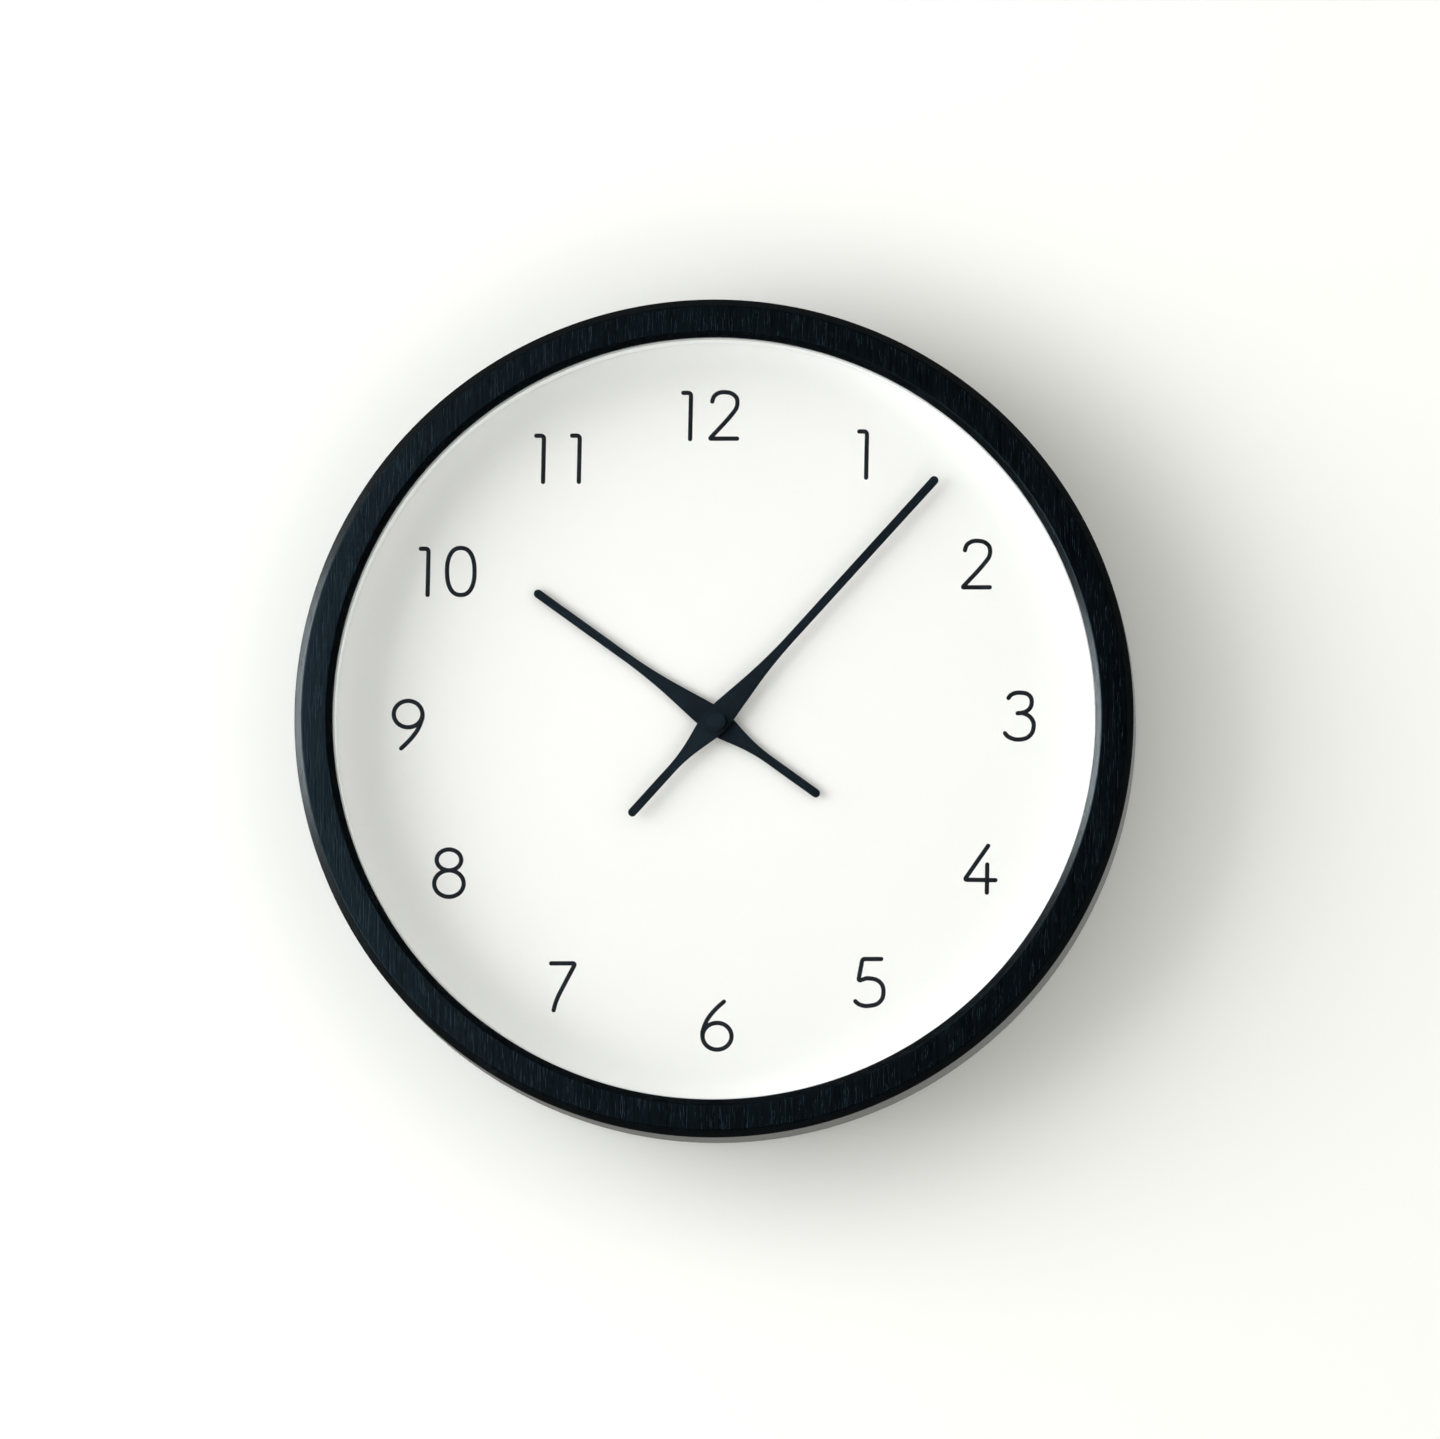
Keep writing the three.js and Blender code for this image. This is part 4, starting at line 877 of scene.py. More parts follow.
def new_stroke(line, closed):
    """A round bar along a line, with round ends, about the frame's own origin."""
    half = STROKE / 2
    points = [Vector((p[0] * MM, p[1] * MM)) for p in line]
    radii = [1.0] * len(points)
    if not closed:
        for end in (0, -1):
            outward = (points[end] - points[1 if end == 0 else -2]).normalized()
            tip = points[end]
            cap = [
                (tip + outward * half * math.sin(a), math.cos(a))
                for a in (math.pi / 2 * step / CAP_STEPS for step in range(1, CAP_STEPS + 1))
            ]
            cap[-1] = (cap[-1][0], 0.02)
            if end == 0:
                points = [p for p, _ in reversed(cap)] + points
                radii = [r for _, r in reversed(cap)] + radii
            else:
                points += [p for p, _ in cap]
                radii += [r for _, r in cap]
    path = bpy.data.curves.new("stroke", "CURVE")
    path.dimensions = "3D"
    path.bevel_depth = half
    path.bevel_resolution = 2
    path.use_fill_caps = True
    spline = path.splines.new("POLY")
    spline.points.add(len(points) - 1)
    for knot, place, radius in zip(spline.points, points, radii):
        knot.co = (place.x, 0, place.y, 1)
        knot.radius = radius
    spline.use_cyclic_u = closed
    stroke = bpy.data.objects.new("stroke", path)
    bpy.context.scene.collection.objects.link(stroke)
    only(stroke)
    bpy.ops.object.convert(target="MESH")
    stroke = bpy.context.object
    with editing(stroke):
        close_shape()
    return stroke


def ring_line(x, z, half_across, half_up):
    """A closed oval, a little squarer at its sides than an ellipse where it is tall."""
    square = TALL_RING_POWER if half_up > 1.3 * half_across else 1.0
    line = []
    for step in range(RING_STEPS):
        angle = 2 * math.pi * step / RING_STEPS
        c, s = math.cos(angle), math.sin(angle)
        line.append((
            x + half_across * math.copysign(abs(c) ** square, c),
            z + half_up * math.copysign(abs(s) ** square, s),
        ))
    return line


def new_digit(digit):
    """One digit, as a single shape where its strokes cross."""
    design = DIGITS[digit]
    strokes = [new_stroke(smooth_line(points), False) for points in design.get("strokes", [])]
    strokes += [new_stroke(ring_line(*ring), True) for ring in design.get("rings", [])]
    whole, *others = strokes
    return cut_away(whole, *others, operation="UNION")


def numeral_layout(hour):
    """The digits of an hour and how far each stands to the side, in millimetres."""
    digits = str(hour)
    if len(digits) == 1:
        return [(digits, 0.0)]
    if digits == "11":
        return [("1", -PAIR_ONES / 2), ("1", PAIR_ONES / 2)]
    return [("1", -PAIR_NARROW * PAIR_LEFT_SHARE), (digits[1], PAIR_NARROW * (1 - PAIR_LEFT_SHARE))]


def make_numerals():
    """The twelve printed numerals, upright, each a thin layer of ink on the dial."""
    designs = {digit: new_digit(digit) for digit in DIGITS}
    for hour in range(1, 13):
        angle = math.radians(30 * hour + PRINT_TURN)
        middle = CENTRE + PRINT_SHIFT + NUMERAL_RADIUS * Vector((math.sin(angle), 0, math.cos(angle)))
        parts = []
        for digit, aside in numeral_layout(hour):
            place = Matrix.Translation((middle.x + aside * MM, DIAL_FRONT, middle.z))
            thin = Matrix.Diagonal((1, 2 * INK_PROUD / STROKE, 1, 1))
            parts.append(copied(designs[digit], f"numeral_{hour}", place @ thin))
        only(*parts)
        if len(parts) > 1:
            bpy.ops.object.join()
        numeral = bpy.context.object
        numeral.name = f"numeral_{hour}"
        shade(numeral, 60)
        finish_piece(numeral, "case", NUMERAL_INK)
    for design in designs.values():
        bpy.data.objects.remove(design)


# ---------------------------------------------------------------- hands

HUB_HALF_WIDTH = 4.95 * MM
SLIM_HALF_WIDTH = 1.56 * MM
HAND_TAIL = 46.3 * MM
BLADE_TAPER = 40 * MM
TAIL_TAPER = 24 * MM
HUB_EASE = 0.93
BLADE_SHARES = (0.22, 0.55)  # where the taper's two handles stand along it
TAIL_SHARES = (0.29, 0.52)
HAND_EDGE = 0.12 * MM
HOUR_REST_ANGLE = 305.8  # degrees clockwise from twelve
MINUTE_REST_ANGLE = 42.3
HOUR_REACH = 81 * MM
MINUTE_REACH = 119.5 * MM
HOUR_BORE = 2.8 * MM
MINUTE_BORE = 1.8 * MM
TAPER_POINTS = 28


def taper(length, shares):
    """The right side of a hand from its hub out to its slim stretch."""
    hub, slim = HUB_HALF_WIDTH, SLIM_HALF_WIDTH
    line = interpolate_bezier(
        Vector((hub, 0)),
        Vector((hub * HUB_EASE, length * shares[0])),
        Vector((slim, length * shares[1])),
        Vector((slim, length)),
        TAPER_POINTS,
    )
    return [(p.x, p.y) for p in line]


def hand_outline(reach):
    """A hand that points up: concave tapers, slim blade and tail, round ends."""
    slim = SLIM_HALF_WIDTH
    right = taper(BLADE_TAPER, BLADE_SHARES)
    right += arc((0, reach - slim), slim, 0, 90, 12)
    left = [(-x, z) for x, z in reversed(right[:-1])]
    tail_right = taper(-TAIL_TAPER, TAIL_SHARES)[1:]
    tail_right += arc((0, slim - HAND_TAIL), slim, 0, -90, 12)
    tail_left = [(-x, z) for x, z in tail_right[:-1]]
    return right + left + tail_left + list(reversed(tail_right))


def make_hand(name, node, reach, bore, degrees):
    """A pressed sheet hand in matt black paint, turned to its place at rest."""
    front, back = depths(node)
    loops = [hand_outline(reach), arc((0, 0), bore, 0, 360 - 360 / SMALL_STEPS, SMALL_STEPS - 1)]
    hand = new_sheet(name, loops, front, back, HAND_EDGE)
    hand.data.transform(turn_about(CENTRE, degrees))
    shade(hand)
    finish_piece(hand, node, HAND_BLACK, [node])


CAP_BORDER = 0.55 * MM
CAP_GROOVE_WIDTH = 0.22 * MM
CAP_GROOVE_DEPTH = 0.15 * MM
CAP_FACE_THICKNESS = 0.6 * MM


def make_cap():
    """The pressed cap on the minute arbor: low, with a turned groove near its edge."""
    front, back = depths("hand_cap")
    radius = half_width("hand_cap")
    cap = new_rod("centre_cap", radius, front, back, CENTRE)
    with editing(cap):
        choose("FACE", faces_front)
        bpy.ops.mesh.inset(thickness=CAP_BORDER)
        bpy.ops.mesh.inset(thickness=CAP_GROOVE_WIDTH)
        groove = radius - CAP_BORDER - CAP_GROOVE_WIDTH / 2
        choose(
            "FACE",
            lambda at, normal: faces_front(at, normal)
            and near((at - CENTRE).xz.length, groove, CAP_GROOVE_WIDTH / 2),
        )
        push(CAP_GROOVE_DEPTH)
        choose("FACE", faces_back)
        bpy.ops.mesh.inset(thickness=radius - MINUTE_BORE)
        push(front - back + CAP_FACE_THICKNESS)
        close_shape()
    soften(cap, 0.12 * MM)
    shade(cap)
    finish_piece(cap, "minute_hand", HAND_BLACK, ["hand_cap"])


# ---------------------------------------------------------------- tabs and hanger

TAB_COUNT = 6
TAB_WIDTH = 12 * MM
TAB_FRONT, TAB_BACK = depths("retainer_tab_1")
TAB_OVER_BOARD = 9 * MM
TAB_IN_WOOD = 4 * MM
TAB_INNER = OPENING_RADIUS + RABBET_WIDTH - TAB_OVER_BOARD
TAB_OUTER = OPENING_RADIUS + RABBET_WIDTH + TAB_IN_WOOD
TAB_SLOT_DEPTH = 5 * MM
TAB_CORNER = 3 * MM
TAB_RIB_BORDER = 2.6 * MM
TAB_RIB_SLOPE = 0.4 * MM
TAB_RIB_HEIGHT = 0.25 * MM
TAB_STEP = 360 / TAB_COUNT
TAB_FIRST = 30  # degrees clockwise from twelve


def tab_turn(index):
    """From a tab that points up to its place round the rim."""
    return turn_about(CENTRE, TAB_FIRST + TAB_STEP * (index - 1))


def new_tab_slot(index):
    """The saw slot in the rabbet's wall that a tab goes into."""
    half, top = TAB_WIDTH / 2 + FIT_GAP, CENTRE.z + TAB_OUTER
    low = (CENTRE.x - half, TAB_FRONT - FIT_GAP, top - TAB_SLOT_DEPTH)
    high = (CENTRE.x + half, TAB_BACK + FIT_GAP, top + FIT_GAP)
    slot = new_block("tab_slot", low, high)
    slot.data.transform(tab_turn(index))
    return slot


def make_tabs():
    """Six flat steel tabs with a pressed rib and round corners, driven into the rabbet."""
    first = new_block(
        "board_tab",
        (CENTRE.x - TAB_WIDTH / 2, TAB_FRONT, CENTRE.z + TAB_INNER),
        (CENTRE.x + TAB_WIDTH / 2, TAB_BACK, CENTRE.z + TAB_OUTER),
    )
    with editing(first):
        choose("EDGE", lambda at, along: runs_deep(along) and near(at.z, CENTRE.z + TAB_INNER))
        bpy.ops.mesh.bevel(offset=TAB_CORNER, segments=8)
        choose("FACE", faces_back)
        bpy.ops.mesh.inset(thickness=TAB_RIB_BORDER)
        bpy.ops.mesh.inset(thickness=TAB_RIB_SLOPE)
        push(-TAB_RIB_HEIGHT)
    soften(first, 0.08 * MM)
    for index in range(1, TAB_COUNT + 1):
        tab = copied(first, f"board_tab_{index}", tab_turn(index))
        shade(tab)
        finish_piece(tab, "case", ZINC_STEEL, [f"retainer_tab_{index}"])
    bpy.data.objects.remove(first)


HANGER_LOW, HANGER_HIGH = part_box("hanger_plate")
HANGER_OUTER = HANGER_HIGH.z - CENTRE.z
HANGER_EAR = 8.6 * MM
HANGER_SPREAD = 11  # degrees to each side
TONGUE_HALF_WIDTH = 10 * MM
HOOK_HEIGHT = -CENTRE.z  # the frame's origin is the slot's end
SLOT_LENGTH = 7.5 * MM
ENTRY_HEIGHT = HOOK_HEIGHT - SLOT_LENGTH
ENTRY_RADIUS = 5 * MM
SLOT_RADIUS = 2.5 * MM
HANGER_EDGE = 0.18 * MM
SINK_RADIUS = 2.9 * MM
SINK_PAST = 0.05 * MM


def hanger_outline(margin):
    """Ears that follow the rim and a tongue with a round end, wider by a margin."""
    outer = HANGER_OUTER + margin
    inner = HANGER_OUTER - HANGER_EAR - margin
    half = TONGUE_HALF_WIDTH + margin
    spread = HANGER_SPREAD + math.degrees(margin / outer)
    tongue = math.degrees(math.asin(half / inner))
    return (
        arc((0, 0), outer, 90 - spread, 90 + spread, 41)
        + arc((0, 0), inner, 90 + spread, 90 + tongue, 16)
        + arc((0, ENTRY_HEIGHT), half, 180, 360, 40)
        + arc((0, 0), inner, 90 - tongue, 90 - spread, 16)
    )


def keyhole_outline():
    """The screw head's way in below and the narrow slot above it."""
    reach = math.sqrt(ENTRY_RADIUS ** 2 - SLOT_RADIUS ** 2)
    corner = math.degrees(math.atan2(reach, SLOT_RADIUS))
    return arc((0, ENTRY_HEIGHT), ENTRY_RADIUS, 180 - corner, 360 + corner, 40) + arc(
        (0, HOOK_HEIGHT), SLOT_RADIUS, 0, 180, 20
    )


def make_hanger():
    """A pressed steel hanger with a keyhole slot and two countersunk screws."""
    front, back = HANGER_LOW.y, HANGER_HIGH.y
    plate = new_sheet("hanger", [hanger_outline(0), keyhole_outline()], front, back, HANGER_EDGE)
    for side in ("left", "right"):
        place = middle_of(f"hanger_screw_{side}")
        sink = new_rod(
            "screw_sink", SINK_RADIUS, front - SINK_PAST, back + SINK_PAST, place, tip=SCREW_BORE
        )
        cut_away(plate, sink)
    shade(plate, 30)
    finish_piece(plate, "case", ZINC_STEEL, ["hanger_plate"])


SCREW_STEPS = 48
SCREW_SHANK = 1.2 * MM
SCREW_TIP = 2 * MM
SINK_RIM = 0.15 * MM
SINK_HEIGHT = 1.2 * MM
PAN_HEIGHT = 1.5 * MM
PAN_DOME = ((0.93, 0.25), (0.8, 0.2), (0.62, 0.15))  # each step's share of width, and its rise in mm
PAN_TIP = 1 * MM
RECESS_DEPTH = 0.9 * MM
RECESS_PAST = 0.2 * MM


def cross_cutter(place, back, reach, width):
    """A tapered cross, to sink a driver's recess in a screw head."""
    bars = []
    for across, up in ((reach, width), (width, reach)):
        bar = new_block(
            "recess",
            (place.x - across / 2, back - RECESS_DEPTH, place.z - up / 2),
            (place.x + across / 2, back + RECESS_PAST, place.z + up / 2),
        )
        with editing(bar):
            choose("FACE", faces_front)
            squeeze(0.55)
        bars.append(bar)
    return cut_away(bars[0], bars[1], operation="UNION")


def make_screw(name, node, pan):
    """A cross-recess wood screw: countersunk, or with a domed pan head."""
    low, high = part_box(node)
    place = (low + high) / 2
    head = (high.x - low.x) / 2
    if pan:
        under = high.y - PAN_HEIGHT
        dome = sum(rise for _, rise in PAN_DOME) * MM
        screw = new_rod(name, head, under, high.y - dome, place, SCREW_STEPS)
        with editing(screw):
            choose("FACE", faces_back)
            for grow, rise in PAN_DOME:
                push(rise * MM)
                squeeze(grow)
            choose("FACE", faces_front)
            bpy.ops.mesh.inset(thickness=head - SCREW_SHANK)
            push(low.y + PAN_TIP - under)
            push(-PAN_TIP)
            squeeze(0.25)
    else:
        screw = new_rod(name, head, high.y - SINK_RIM, high.y, place, SCREW_STEPS)
        with editing(screw):
            choose("FACE", faces_front)
            push(SINK_RIM - SINK_HEIGHT)
            squeeze(SCREW_SHANK / head)
            push(low.y + SCREW_TIP - (high.y - SINK_HEIGHT))
            push(-SCREW_TIP)
            squeeze(0.2)
    cut_away(screw, cross_cutter(place, high.y, 1.25 * head, 0.3 * head))
    soften(screw, 0.06 * MM, degrees=30)
    shade(screw)
    finish_piece(screw, "case", ZINC_STEEL, [node])


# ---------------------------------------------------------------- movement, from the back

LUG_LENGTH = 7 * MM
LUG_CORNER = 2.5 * MM
CASE_CORNER = 2 * MM
CASE_REACH = 0.05 * MM  # how near an edge lies to a wall that it belongs to


def make_case():
    """The moulded tub of the movement, with rounded corners and eased rims."""
    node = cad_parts["movement_case"]
    low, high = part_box("movement_case")
    lug_end = half_width("movement_case")
    wall = lug_end - LUG_LENGTH

    def at_side(at, along, reach):
        return runs_deep(along) and near(abs(at.x - CENTRE.x), reach, CASE_REACH)

    case = copied(node, "case_tub", Matrix.Identity(4))
    for key in list(case.keys()):
        del case[key]
    case.parent = None
    with editing(case):
        take_all()
        bpy.ops.mesh.remove_doubles(threshold=MERGE)
        bpy.ops.mesh.dissolve_limited(angle_limit=math.radians(0.5))
        choose(
            "EDGE",
            lambda at, along: at_side(at, along, wall)
            and (near(at.z, low.z, CASE_REACH) or near(at.z, high.z, CASE_REACH)),
        )
        bpy.ops.mesh.bevel(offset=CASE_CORNER, segments=6)
        choose("EDGE", lambda at, along: at_side(at, along, lug_end))
        bpy.ops.mesh.bevel(offset=LUG_CORNER, segments=6)
    soften(case, 0.18 * MM, degrees=50)
    shade(case)
    finish_piece(case, "case", CASE_BLACK, ["movement_case"])


COVER_THICKNESS = 1.2 * MM
COVER_BORDER = 1.6 * MM
COVER_SINK = 0.35 * MM
COVER_LOWER_CORNERS = 5 * MM  # the lower corners lie under this height and stay square
DISH_RADIUS = 7.2 * MM
DISH_DEPTH = 0.75 * MM
SHAFT_HOLE = 1.2 * MM
PEG_RADIUS = 1 * MM
PEG_PLACES = ((-24.45 * MM, 24.2 * MM), (4 * MM, 24.2 * MM), (-24.45 * MM, 3 * MM))
PEG_OVERLAP = 0.2 * MM
ARROW_INNER = 8.2 * MM
ARROW_OUTER = 9 * MM
ARROW_BARB = 0.7 * MM
ARROW_SWEEP = 60  # degrees along the shaft
ARROW_POINT = 12
ARROW_SUNK = 0.05 * MM
ARROW_PROUD = 0.2 * MM


def make_cover():
    """The snap-on cover: raised border, a dished ring round the knob and two arrows."""
    low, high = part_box("movement_cover")
    front = high.y - COVER_THICKNESS
    knob = middle_of("setting_knob")
    cover = new_block("case_cover", (low.x, front, low.z), (high.x, high.y, high.z))
    with editing(cover):
        choose("EDGE", lambda at, along: runs_deep(along) and at.z > CENTRE.z + COVER_LOWER_CORNERS)
        bpy.ops.mesh.bevel(offset=CASE_CORNER, segments=6)
        choose("FACE", faces_back)
        bpy.ops.mesh.inset(thickness=COVER_BORDER)
        push(-COVER_SINK)
        squeeze(0.99, center_override=(CENTRE.x, high.y, CENTRE.z))
    dish = new_rod("dish", DISH_RADIUS, high.y - DISH_DEPTH, high.y + CUT_PAST, knob)
    hole = new_rod("shaft_hole", SHAFT_HOLE, low.y - CUT_PAST, high.y + CUT_PAST, knob)
    pegs = []
    for x, z in PEG_PLACES:
        place = Vector((CENTRE.x + x, 0, CENTRE.z + z))
        pegs.append(new_rod("peg", PEG_RADIUS, low.y, front + PEG_OVERLAP, place, BORE_STEPS))
    cut_away(cover, dish, hole)
    cut_away(cover, *pegs, operation="UNION")
    soften(cover, 0.15 * MM)
    shade(cover)
    finish_piece(cover, "case", COVER_BLACK, ["movement_cover"])
    make_arrows(knob, high.y - COVER_SINK)


def make_arrows(knob, face):
    """Two curved arrows, raised on the cover round the setting knob."""
    about = (knob.x - CENTRE.x, knob.z - CENTRE.z)
    front, back = face - ARROW_SUNK, face + ARROW_PROUD

    def point_at(radius, angle):
        return arc(about, radius, angle, angle, 1)[0]

    for index, start in enumerate((20, 200)):
        end = start + ARROW_SWEEP
        head = [
            point_at(ARROW_OUTER + ARROW_BARB, end),
            point_at((ARROW_INNER + ARROW_OUTER) / 2, end + ARROW_POINT),
            point_at(ARROW_INNER - ARROW_BARB, end),
        ]
        shaft = arc(about, ARROW_OUTER, start, end, 16), arc(about, ARROW_INNER, end, start, 16)
        outline = shaft[0] + head + shaft[1]
        arrow = new_sheet(f"cover_arrow_{index + 1}", [outline], front, back, ARROW_SUNK)
        shade(arrow)
        finish_piece(arrow, "case", COVER_BLACK)


KNOB_RIBS = 36
KNOB_THICKNESS = 1.1 * MM
KNOB_BORDER = 0.9 * MM
KNOB_SLOPE = 0.3 * MM
KNOB_SINK = 0.35 * MM


def make_knob():
    """The ribbed hand-setting knob with its dished face and shaft."""
    low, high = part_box("setting_knob")
    place = (low + high) / 2
    radius = (high.x - low.x) / 2
    knob = new_rod("set_knob", radius, high.y - KNOB_THICKNESS, high.y, place, 2 * KNOB_RIBS)
    with editing(knob):
        groove = math.pi / KNOB_RIBS
        choose(
            "VERT",
            lambda at, _: round(math.atan2(at.z - place.z, at.x - place.x) / groove) % 2 == 1,
        )
        squeeze(0.95, center_override=place)
        choose("FACE", faces_back)
        bpy.ops.mesh.inset(thickness=KNOB_BORDER)
        bpy.ops.mesh.inset(thickness=KNOB_SLOPE)
        push(-KNOB_SINK)
        choose("FACE", faces_front)
        bpy.ops.mesh.inset(thickness=radius * 0.97 - MM)
        push(low.y - high.y + KNOB_THICKNESS)
    soften(knob, 0.06 * MM, degrees=30)
    shade(knob)
    finish_piece(knob, "setting_knob", KNOB_GREY, ["setting_knob"])


BUTTON_RADIUS = 2.75 * MM
BUTTON_HEIGHT = 1.2 * MM
CRIMP_WIDTH = 0.9 * MM
CRIMP_DEPTH = 0.3 * MM
END_RING_WIDTH = 1.2 * MM
END_DEPTH = 0.25 * MM
END_RAISED = 0.15 * MM
CELL_EDGE = 0.22 * MM


def make_battery():
    """An AA cell: crimped sleeve, stepped button and a flat, ringed negative end."""
    low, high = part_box("battery")
    radius = (high.z - low.z) / 2
    middle = (low + high) / 2
    bpy.ops.object.select_all(action="DESELECT")
    bpy.ops.mesh.primitive_cylinder_add(
        vertices=96,
        radius=radius,
        depth=high.x - low.x - BUTTON_HEIGHT,
        location=(middle.x + BUTTON_HEIGHT / 2, middle.y, middle.z),
        rotation=(0, math.pi / 2, 0),
    )
    cell = settle("aa_cell")
    with editing(cell):
        choose("FACE", lambda at, normal: normal.x < -0.9)
        bpy.ops.mesh.inset(thickness=CRIMP_WIDTH)
        push(0, CRIMP_DEPTH)
        bpy.ops.mesh.inset(thickness=radius - CRIMP_WIDTH - BUTTON_RADIUS)
        push(0, -BUTTON_HEIGHT - CRIMP_DEPTH)
        choose("FACE", lambda at, normal: normal.x > 0.9)
        bpy.ops.mesh.inset(thickness=CRIMP_WIDTH)
        push(0, -END_DEPTH)
        bpy.ops.mesh.inset(thickness=END_RING_WIDTH)
        push(0, END_RAISED)
    soften(cell, CELL_EDGE, segments=3)
    shade(cell)
    finish_piece(cell, "battery", JACKET, ["battery"])
    cell.data.materials.append(ZINC_STEEL)
    sleeve_low = low.x + BUTTON_HEIGHT + 0.28 * MM
    sleeve_high = high.x - 0.2 * MM
    for face in cell.data.polygons:
        off_axis = math.hypot(face.center.y - middle.y, face.center.z - middle.z)
        on_end = not sleeve_low < face.center.x < sleeve_high
        if on_end and off_axis < radius - CRIMP_WIDTH + 0.15 * MM:
            face.material_index = 1


# ---------------------------------------------------------------- sealed parts, kept from the frame

KEPT = (
    (CIRCUIT_GREEN, ("circuit_board",)),
    (CASE_BLACK, ("controller_chip",)),
    (BOBBIN_WHITE, ("coil_bobbin",)),
    (COPPER, ("coil_winding",)),
    (ARBOR_BRASS, ("train_bridge", "minute_arbor")),
    (MAGNET_FERRITE, ("rotor_magnet",)),
    (ZINC_STEEL, (
        "battery_contact_positive", "battery_contact_negative", "quartz_crystal", "stator_plate",
        "coil_core", "stator_screw_1", "stator_screw_2", "bridge_screw_1", "bridge_screw_2",
    )),
    (GEAR_WHITE, (
        "rotor_pinion", "fifth_wheel", "fourth_wheel", "third_wheel", "centre_wheel",
        "motion_wheel", "hour_wheel",
    )),
)


def paint_kept_nodes():
    for material, names in KEPT:
        for name in names:
            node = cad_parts[name]
            if not node.material_slots:
                node.data.materials.append(material)
            for slot in node.material_slots:
                slot.material = material


# ---------------------------------------------------------------- wall, light and camera

WALL_HALF = 0.8
WALL_GAP = 0.3 * MM
CAMERA_DISTANCE = 10.0
CAMERA_RIGHT = 2.0  # degrees to the right of the dial's own direction
CAMERA_BELOW = 3.7
VIEW_WIDTH = 0.521  # at the clock
AIM_RIGHT = 2.32 * MM  # the view's middle from the opening's middle
AIM_DOWN = 0.69 * MM
SENSOR = 36
ROOM_LIGHT = 1.09
MIRRORED_LIGHT = 0.12  # the share of the room that shiny surfaces show
DIM_LIGHT = 0.02  # straight in front of the clock
DIM_CONE = (-0.98, -0.74)  # of a direction's Y: all dim before the first, all lit past the second


def make_wall():
    """A pale painted wall just behind the clock, open from behind and to lamps' rays.

    Reflections see it evenly lit, so that metal on the back isn't black."""
    bpy.ops.object.select_all(action="DESELECT")
    bpy.ops.mesh.primitive_plane_add(
        size=2 * WALL_HALF, location=(CENTRE.x, WALL_GAP, CENTRE.z), rotation=(math.pi / 2, 0, 0)
    )
    wall = settle("wall")
    material, tree, shader = new_material("wall_paint", Roughness=0.85, Specular_IOR_Level=0.2)
    mottle = place_group(
        tree, MOTTLE, Light=srgb(247, 247, 243), Dark=srgb(246, 246, 242),
        Cloud_Scale=6.0, Grain_Scale=500.0
    )
    tree.links.new(mottle.outputs["Color"], shader.inputs["Base Color"])
    paths = tree.nodes.new("ShaderNodeLightPath")
    geometry = tree.nodes.new("ShaderNodeNewGeometry")
    glow = tree.nodes.new("ShaderNodeEmission")
    glow.inputs["Color"].default_value = srgb(214, 214, 208)
    through = tree.nodes.new("ShaderNodeBsdfTransparent")
    mirrored = mix_shader(tree, paths.outputs["Is Glossy Ray"], shader.outputs[0], glow.outputs[0])
    passing = math_node(tree, "MAXIMUM", paths.outputs["Is Shadow Ray"], geometry.outputs["Backfacing"])
    pick = mix_shader(tree, passing, mirrored, through.outputs[0])
    tree.links.new(pick, tree.nodes["Material Output"].inputs["Surface"])
    wall.data.materials.append(material)


def aim(thing, target):
    thing.rotation_mode = "QUATERNION"
    thing.rotation_quaternion = (target - thing.location).to_track_quat("-Z", "Y")


def add_lamp(name, place, size, power, colour=(1, 1, 1)):
    """A square lamp that faces the clock."""
    light = bpy.data.lights.new(name, "AREA")
    light.shape = "SQUARE"
    light.size = size
    light.energy = power
    light.color = colour
    lamp = bpy.data.objects.new(name, light)
    bpy.context.scene.collection.objects.link(lamp)
    lamp.location = CENTRE + Vector(place)
    aim(lamp, CENTRE)
    return lamp


def room_direction(off_wall, clockwise):
    """A direction by its angle off the wall's normal and its clock angle from twelve."""
    off, turn = math.radians(off_wall), math.radians(clockwise)
    return Vector((math.sin(off) * math.sin(turn), -math.cos(off), math.sin(off) * math.cos(turn)))


def make_lights():
    """Daylight from the left, two lamps that only reflections show, light on the back, a room."""
    for name, off_wall, clockwise, distance, size, power in (
        ("curtain_light", 65, 285, 2.0, 2.0, 25.5),
        ("window_near", 72, 285, 1.5, 0.9, 6.4),
        ("window_far", 74, 285, 2.4, 0.9, 4.3),
        ("window_low", 55, 255, 2.4, 0.9, 6.6),
    ):
        place = room_direction(off_wall, clockwise) * distance
        lamp = add_lamp(name, place, size, power)
        lamp.visible_glossy = False
    for name, place, size, power, colour in (
        ("face_sheen", (-0.5, -0.7, 0.02), 0.5, 20, (0.45, 0.75, 1.0)),
        ("edge_sheen", (-1.6, -0.12, 0.2), 0.9, 150, (0.85, 0.96, 1.0)),
    ):
        sheen = add_lamp(name, place, size, power, colour)
        sheen.visible_diffuse = False
    add_lamp("back_light", (1.2, 2.2, 1.2), 1.6, 60)
    add_lamp("back_fill", (-1.8, 1.8, -0.4), 1.6, 25)
    make_room()


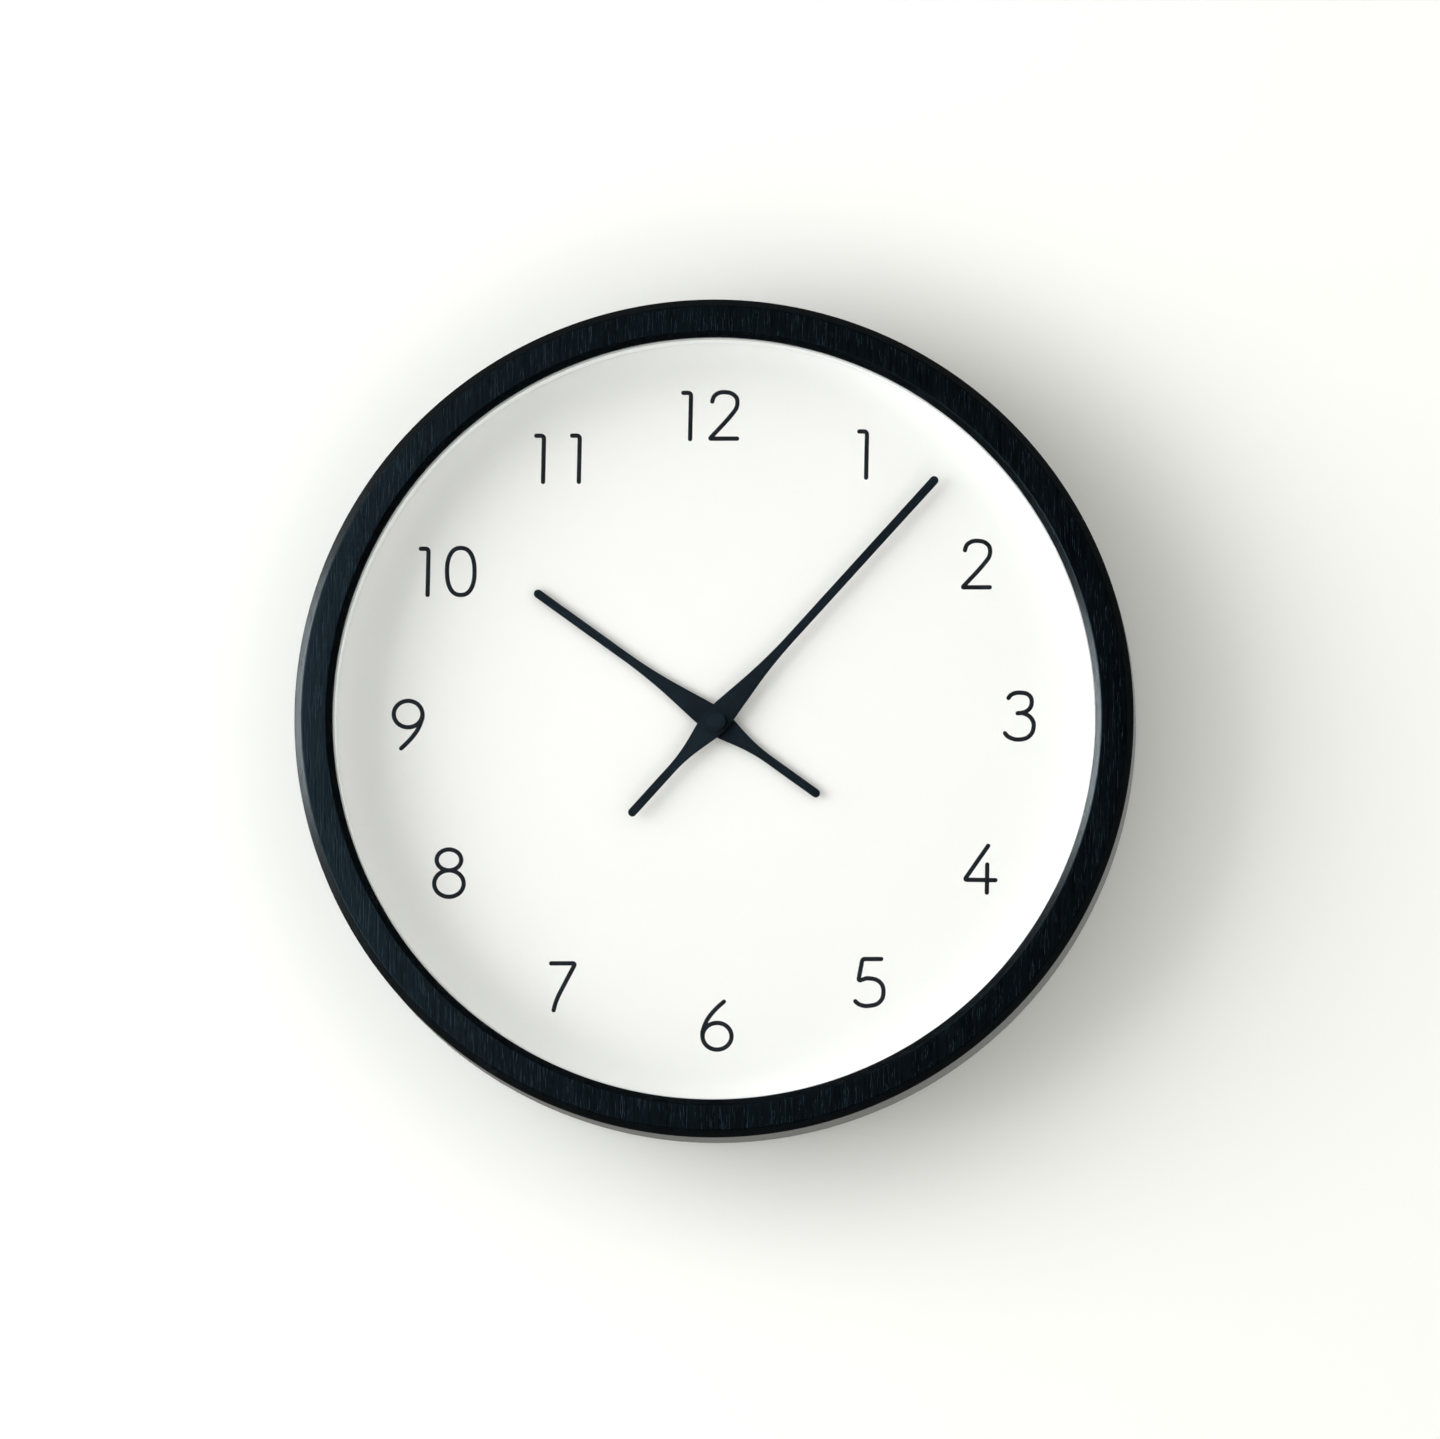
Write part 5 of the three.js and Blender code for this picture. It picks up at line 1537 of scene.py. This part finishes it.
def make_room():
    """A pale room that is dim straight in front of the clock, so that flat black stays black."""
    world = bpy.data.worlds.new("room")
    bpy.context.scene.world = world
    world.use_nodes = True
    tree = world.node_tree
    background = tree.nodes["Background"]
    background.inputs["Color"].default_value = (1.0, 1.0, 0.97, 1)
    coordinates = tree.nodes.new("ShaderNodeTexCoord")
    split = tree.nodes.new("ShaderNodeSeparateXYZ")
    tree.links.new(coordinates.outputs["Generated"], split.inputs[0])
    away = ramp_node(tree, split.outputs["Y"], *DIM_CONE)
    room = between(tree, away, DIM_LIGHT, ROOM_LIGHT)
    ray = tree.nodes.new("ShaderNodeLightPath").outputs["Is Glossy Ray"]
    mirrored = math_node(tree, "MULTIPLY", ray, 1 - MIRRORED_LIGHT)
    seen = math_node(tree, "SUBTRACT", 1, mirrored)
    tree.links.new(math_node(tree, "MULTIPLY", room, seen), background.inputs["Strength"])


def make_camera():
    """A long lens, a little to the right of the clock and a little below it."""
    right, below = math.radians(CAMERA_RIGHT), math.radians(CAMERA_BELOW)
    towards = Vector(
        (math.sin(right) * math.cos(below), -math.cos(right) * math.cos(below), -math.sin(below))
    )
    target = CENTRE + Vector((AIM_RIGHT, RIM_FRONT, -AIM_DOWN))
    data = bpy.data.cameras.new("camera")
    data.sensor_width = SENSOR
    data.lens = SENSOR * CAMERA_DISTANCE / VIEW_WIDTH
    data.clip_start = 0.1
    data.clip_end = 100
    camera = bpy.data.objects.new("camera", data)
    bpy.context.scene.collection.objects.link(camera)
    camera.location = target + towards * CAMERA_DISTANCE
    aim(camera, target)
    bpy.context.scene.camera = camera


# ---------------------------------------------------------------- assembly

make_camera()
make_wall()
make_lights()
bpy.context.scene.view_settings.view_transform = "Standard"

make_rim()
make_glass()
make_dial_parts()
make_numerals()
make_hand("hand_hour", "hour_hand", HOUR_REACH, HOUR_BORE, HOUR_REST_ANGLE)
make_hand("hand_minute", "minute_hand", MINUTE_REACH, MINUTE_BORE, MINUTE_REST_ANGLE)
make_cap()
make_tabs()
make_hanger()
for end in ("left", "right"):
    make_screw(f"hanger_screw_head_{end}", f"hanger_screw_{end}", pan=False)
    make_screw(f"movement_screw_head_{end}", f"movement_screw_{end}", pan=True)
make_case()
make_cover()
make_knob()
make_battery()
paint_kept_nodes()
